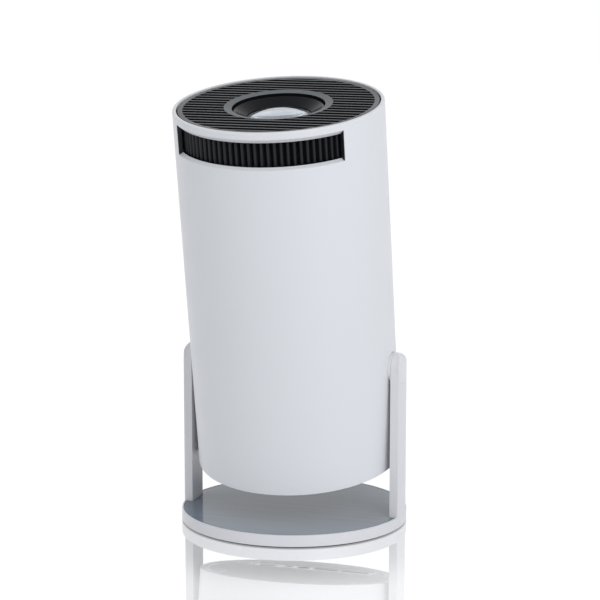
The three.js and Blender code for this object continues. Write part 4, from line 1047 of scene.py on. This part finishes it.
rod_radius = 1.2
light_rod = round_bar("status_light_rod", rod_radius, panel_outer, socket_front, 48, "Z",
                      (light_x, panel_row, 0))
eased(light_rod, 0.15, 2)
clear_rod, nodes, links, shader = finish_material("clear_rod", (0.9, 0.95, 1.0), 0.08, ior=1.49)
shader.inputs["Transmission Weight"].default_value = 0.85
frost = noise_at(nodes, links, object_place(nodes, links), 800, 3)
uneven_gloss(nodes, links, shader, frost, 0.04, 0.2)
light_rod.data.materials.append(clear_rod)
leant(light_rod)
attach(light_rod, "barrel")
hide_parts("status_light")


# ---- Inner parts: engine, cooling, boards, speaker and pivots -------------------------------------
# Black mouldings with a sandy grain, pressed and machined metals, green boards with their tracks
# and the optics. They keep their own shapes, and they show through the slats and when taken apart.

inner_black = matt_black("inner_black", (0.009, 0.009, 0.01), 0.6, 1700, 0.0001, shine=0.12)
for node in ("lens_barrel", "front_bulkhead", "optical_housing", "engine_lid", "fan_bracket",
             "speaker_frame", "fan_frame", "fan_rotor"):
    dress(node, inner_black)
switch_black = matt_black("switch_black", (0.02, 0.02, 0.022), 0.3, 1500, 0.00004)
dress("power_switch", switch_black)

cone_paper = matt_black("cone_paper", (0.022, 0.022, 0.024), 0.75, 1100, 0.0002)
dress("speaker_cone", cone_paper)

extruded_aluminium = machined("extruded_aluminium", (0.72, 0.73, 0.74), 0.32, (1800, 1800, 60))
sheet_aluminium = machined("sheet_aluminium", (0.8, 0.81, 0.82), 0.16, (900, 200, 900))
dress("heat_sink", extruded_aluminium)
dress("led_board", extruded_aluminium)
dress("light_funnel", sheet_aluminium)

bolt_steel = machined("bolt_steel", (0.48, 0.48, 0.49), 0.3, (150, 1500, 1500))
for index in (1, 2, 3):
    dress(f"focus_pin_{index}", bolt_steel)
turned_brass = machined("turned_brass", (0.72, 0.53, 0.25), 0.26, (200, 1400, 1400))

cream_nylon, nodes, links, shader = finish_material("cream_nylon", (0.66, 0.63, 0.56), 0.45)
shader.inputs["Subsurface Weight"].default_value = 0.15
shader.inputs["Subsurface Scale"].default_value = 0.001
place = object_place(nodes, links)
tint = noise_at(nodes, links, place, 150, 3)
two_tones(nodes, links, shader, tint, (0.6, 0.57, 0.5), (0.7, 0.67, 0.6))
relief(nodes, links, shader, noise_at(nodes, links, place, 1500, 2), 0.15, 0.00005)
for side in ("right", "left"):
    dress(f"pivot_bolt_{side}", bolt_steel)
    dress(f"pivot_nut_{side}", turned_brass)
    dress(f"friction_washer_{side}", cream_nylon)

for name, tint, node_names in (
    ("optical_glass", (0.95, 0.99, 0.97), ("condenser_lens", "heat_glass")),
    ("moulded_acrylic", (0.97, 0.98, 0.95), ("rear_fresnel", "front_fresnel")),
):
    clear, nodes, links, shader = finish_material(name, tint, 0.02, ior=1.49)
    shader.inputs["Transmission Weight"].default_value = 1
    dusty = noise_at(nodes, links, object_place(nodes, links), 300, 4)
    uneven_gloss(nodes, links, shader, dusty, 0.0, 0.06)
    if name == "moulded_acrylic":
        rings = nodes.new("ShaderNodeTexWave")
        rings.wave_type = "RINGS"
        rings.rings_direction = "Z"
        rings.inputs["Scale"].default_value = 900
        links.new(object_place(nodes, links, leaning=True), rings.inputs["Vector"])
        relief(nodes, links, shader, rings.outputs["Fac"], 0.3, 0.00005)
    for node in node_names:
        dress(node, clear)

display_glass, nodes, links, shader = finish_material("display_glass", (0.012, 0.014, 0.02), 0.06, ior=1.52)
cells = nodes.new("ShaderNodeTexBrick")
cells.offset = 0
cells.inputs["Color1"].default_value = (0.02, 0.022, 0.03, 1)
cells.inputs["Color2"].default_value = (0.014, 0.02, 0.028, 1)
cells.inputs["Mortar"].default_value = (0.004, 0.004, 0.005, 1)
cells.inputs["Scale"].default_value = 2500
links.new(object_place(nodes, links, leaning=True), cells.inputs["Vector"])
links.new(cells.outputs["Color"], shader.inputs["Base Color"])
dress("lcd_panel", display_glass)

solder_mask, nodes, links, shader = finish_material("solder_mask", (0.02, 0.13, 0.05), 0.35)
place = object_place(nodes, links, leaning=True)
tracks = nodes.new("ShaderNodeTexVoronoi")
tracks.feature = "DISTANCE_TO_EDGE"
tracks.inputs["Scale"].default_value = 420
links.new(place, tracks.inputs["Vector"])
track_line = nodes.new("ShaderNodeMapRange")
track_line.inputs["From Min"].default_value = 0.03
track_line.inputs["From Max"].default_value = 0.07
links.new(tracks.outputs["Distance"], track_line.inputs["Value"])
two_tones(nodes, links, shader, track_line.outputs["Result"], (0.03, 0.2, 0.08), (0.012, 0.09, 0.035))
relief(nodes, links, shader, track_line.outputs["Result"], 0.3, 0.00003)
dress("main_board", solder_mask)
dress("port_board", solder_mask)

flex_film, nodes, links, shader = finish_material("flex_film", (0.45, 0.26, 0.08), 0.3)
place = object_place(nodes, links)
copper = nodes.new("ShaderNodeTexWave")
copper.bands_direction = "X"
copper.inputs["Scale"].default_value = 320
links.new(place, copper.inputs["Vector"])
two_tones(nodes, links, shader, copper.outputs["Fac"], (0.34, 0.18, 0.05), (0.52, 0.31, 0.1))
relief(nodes, links, shader, copper.outputs["Fac"], 0.3, 0.00003)
dress("panel_ribbon", flex_film)
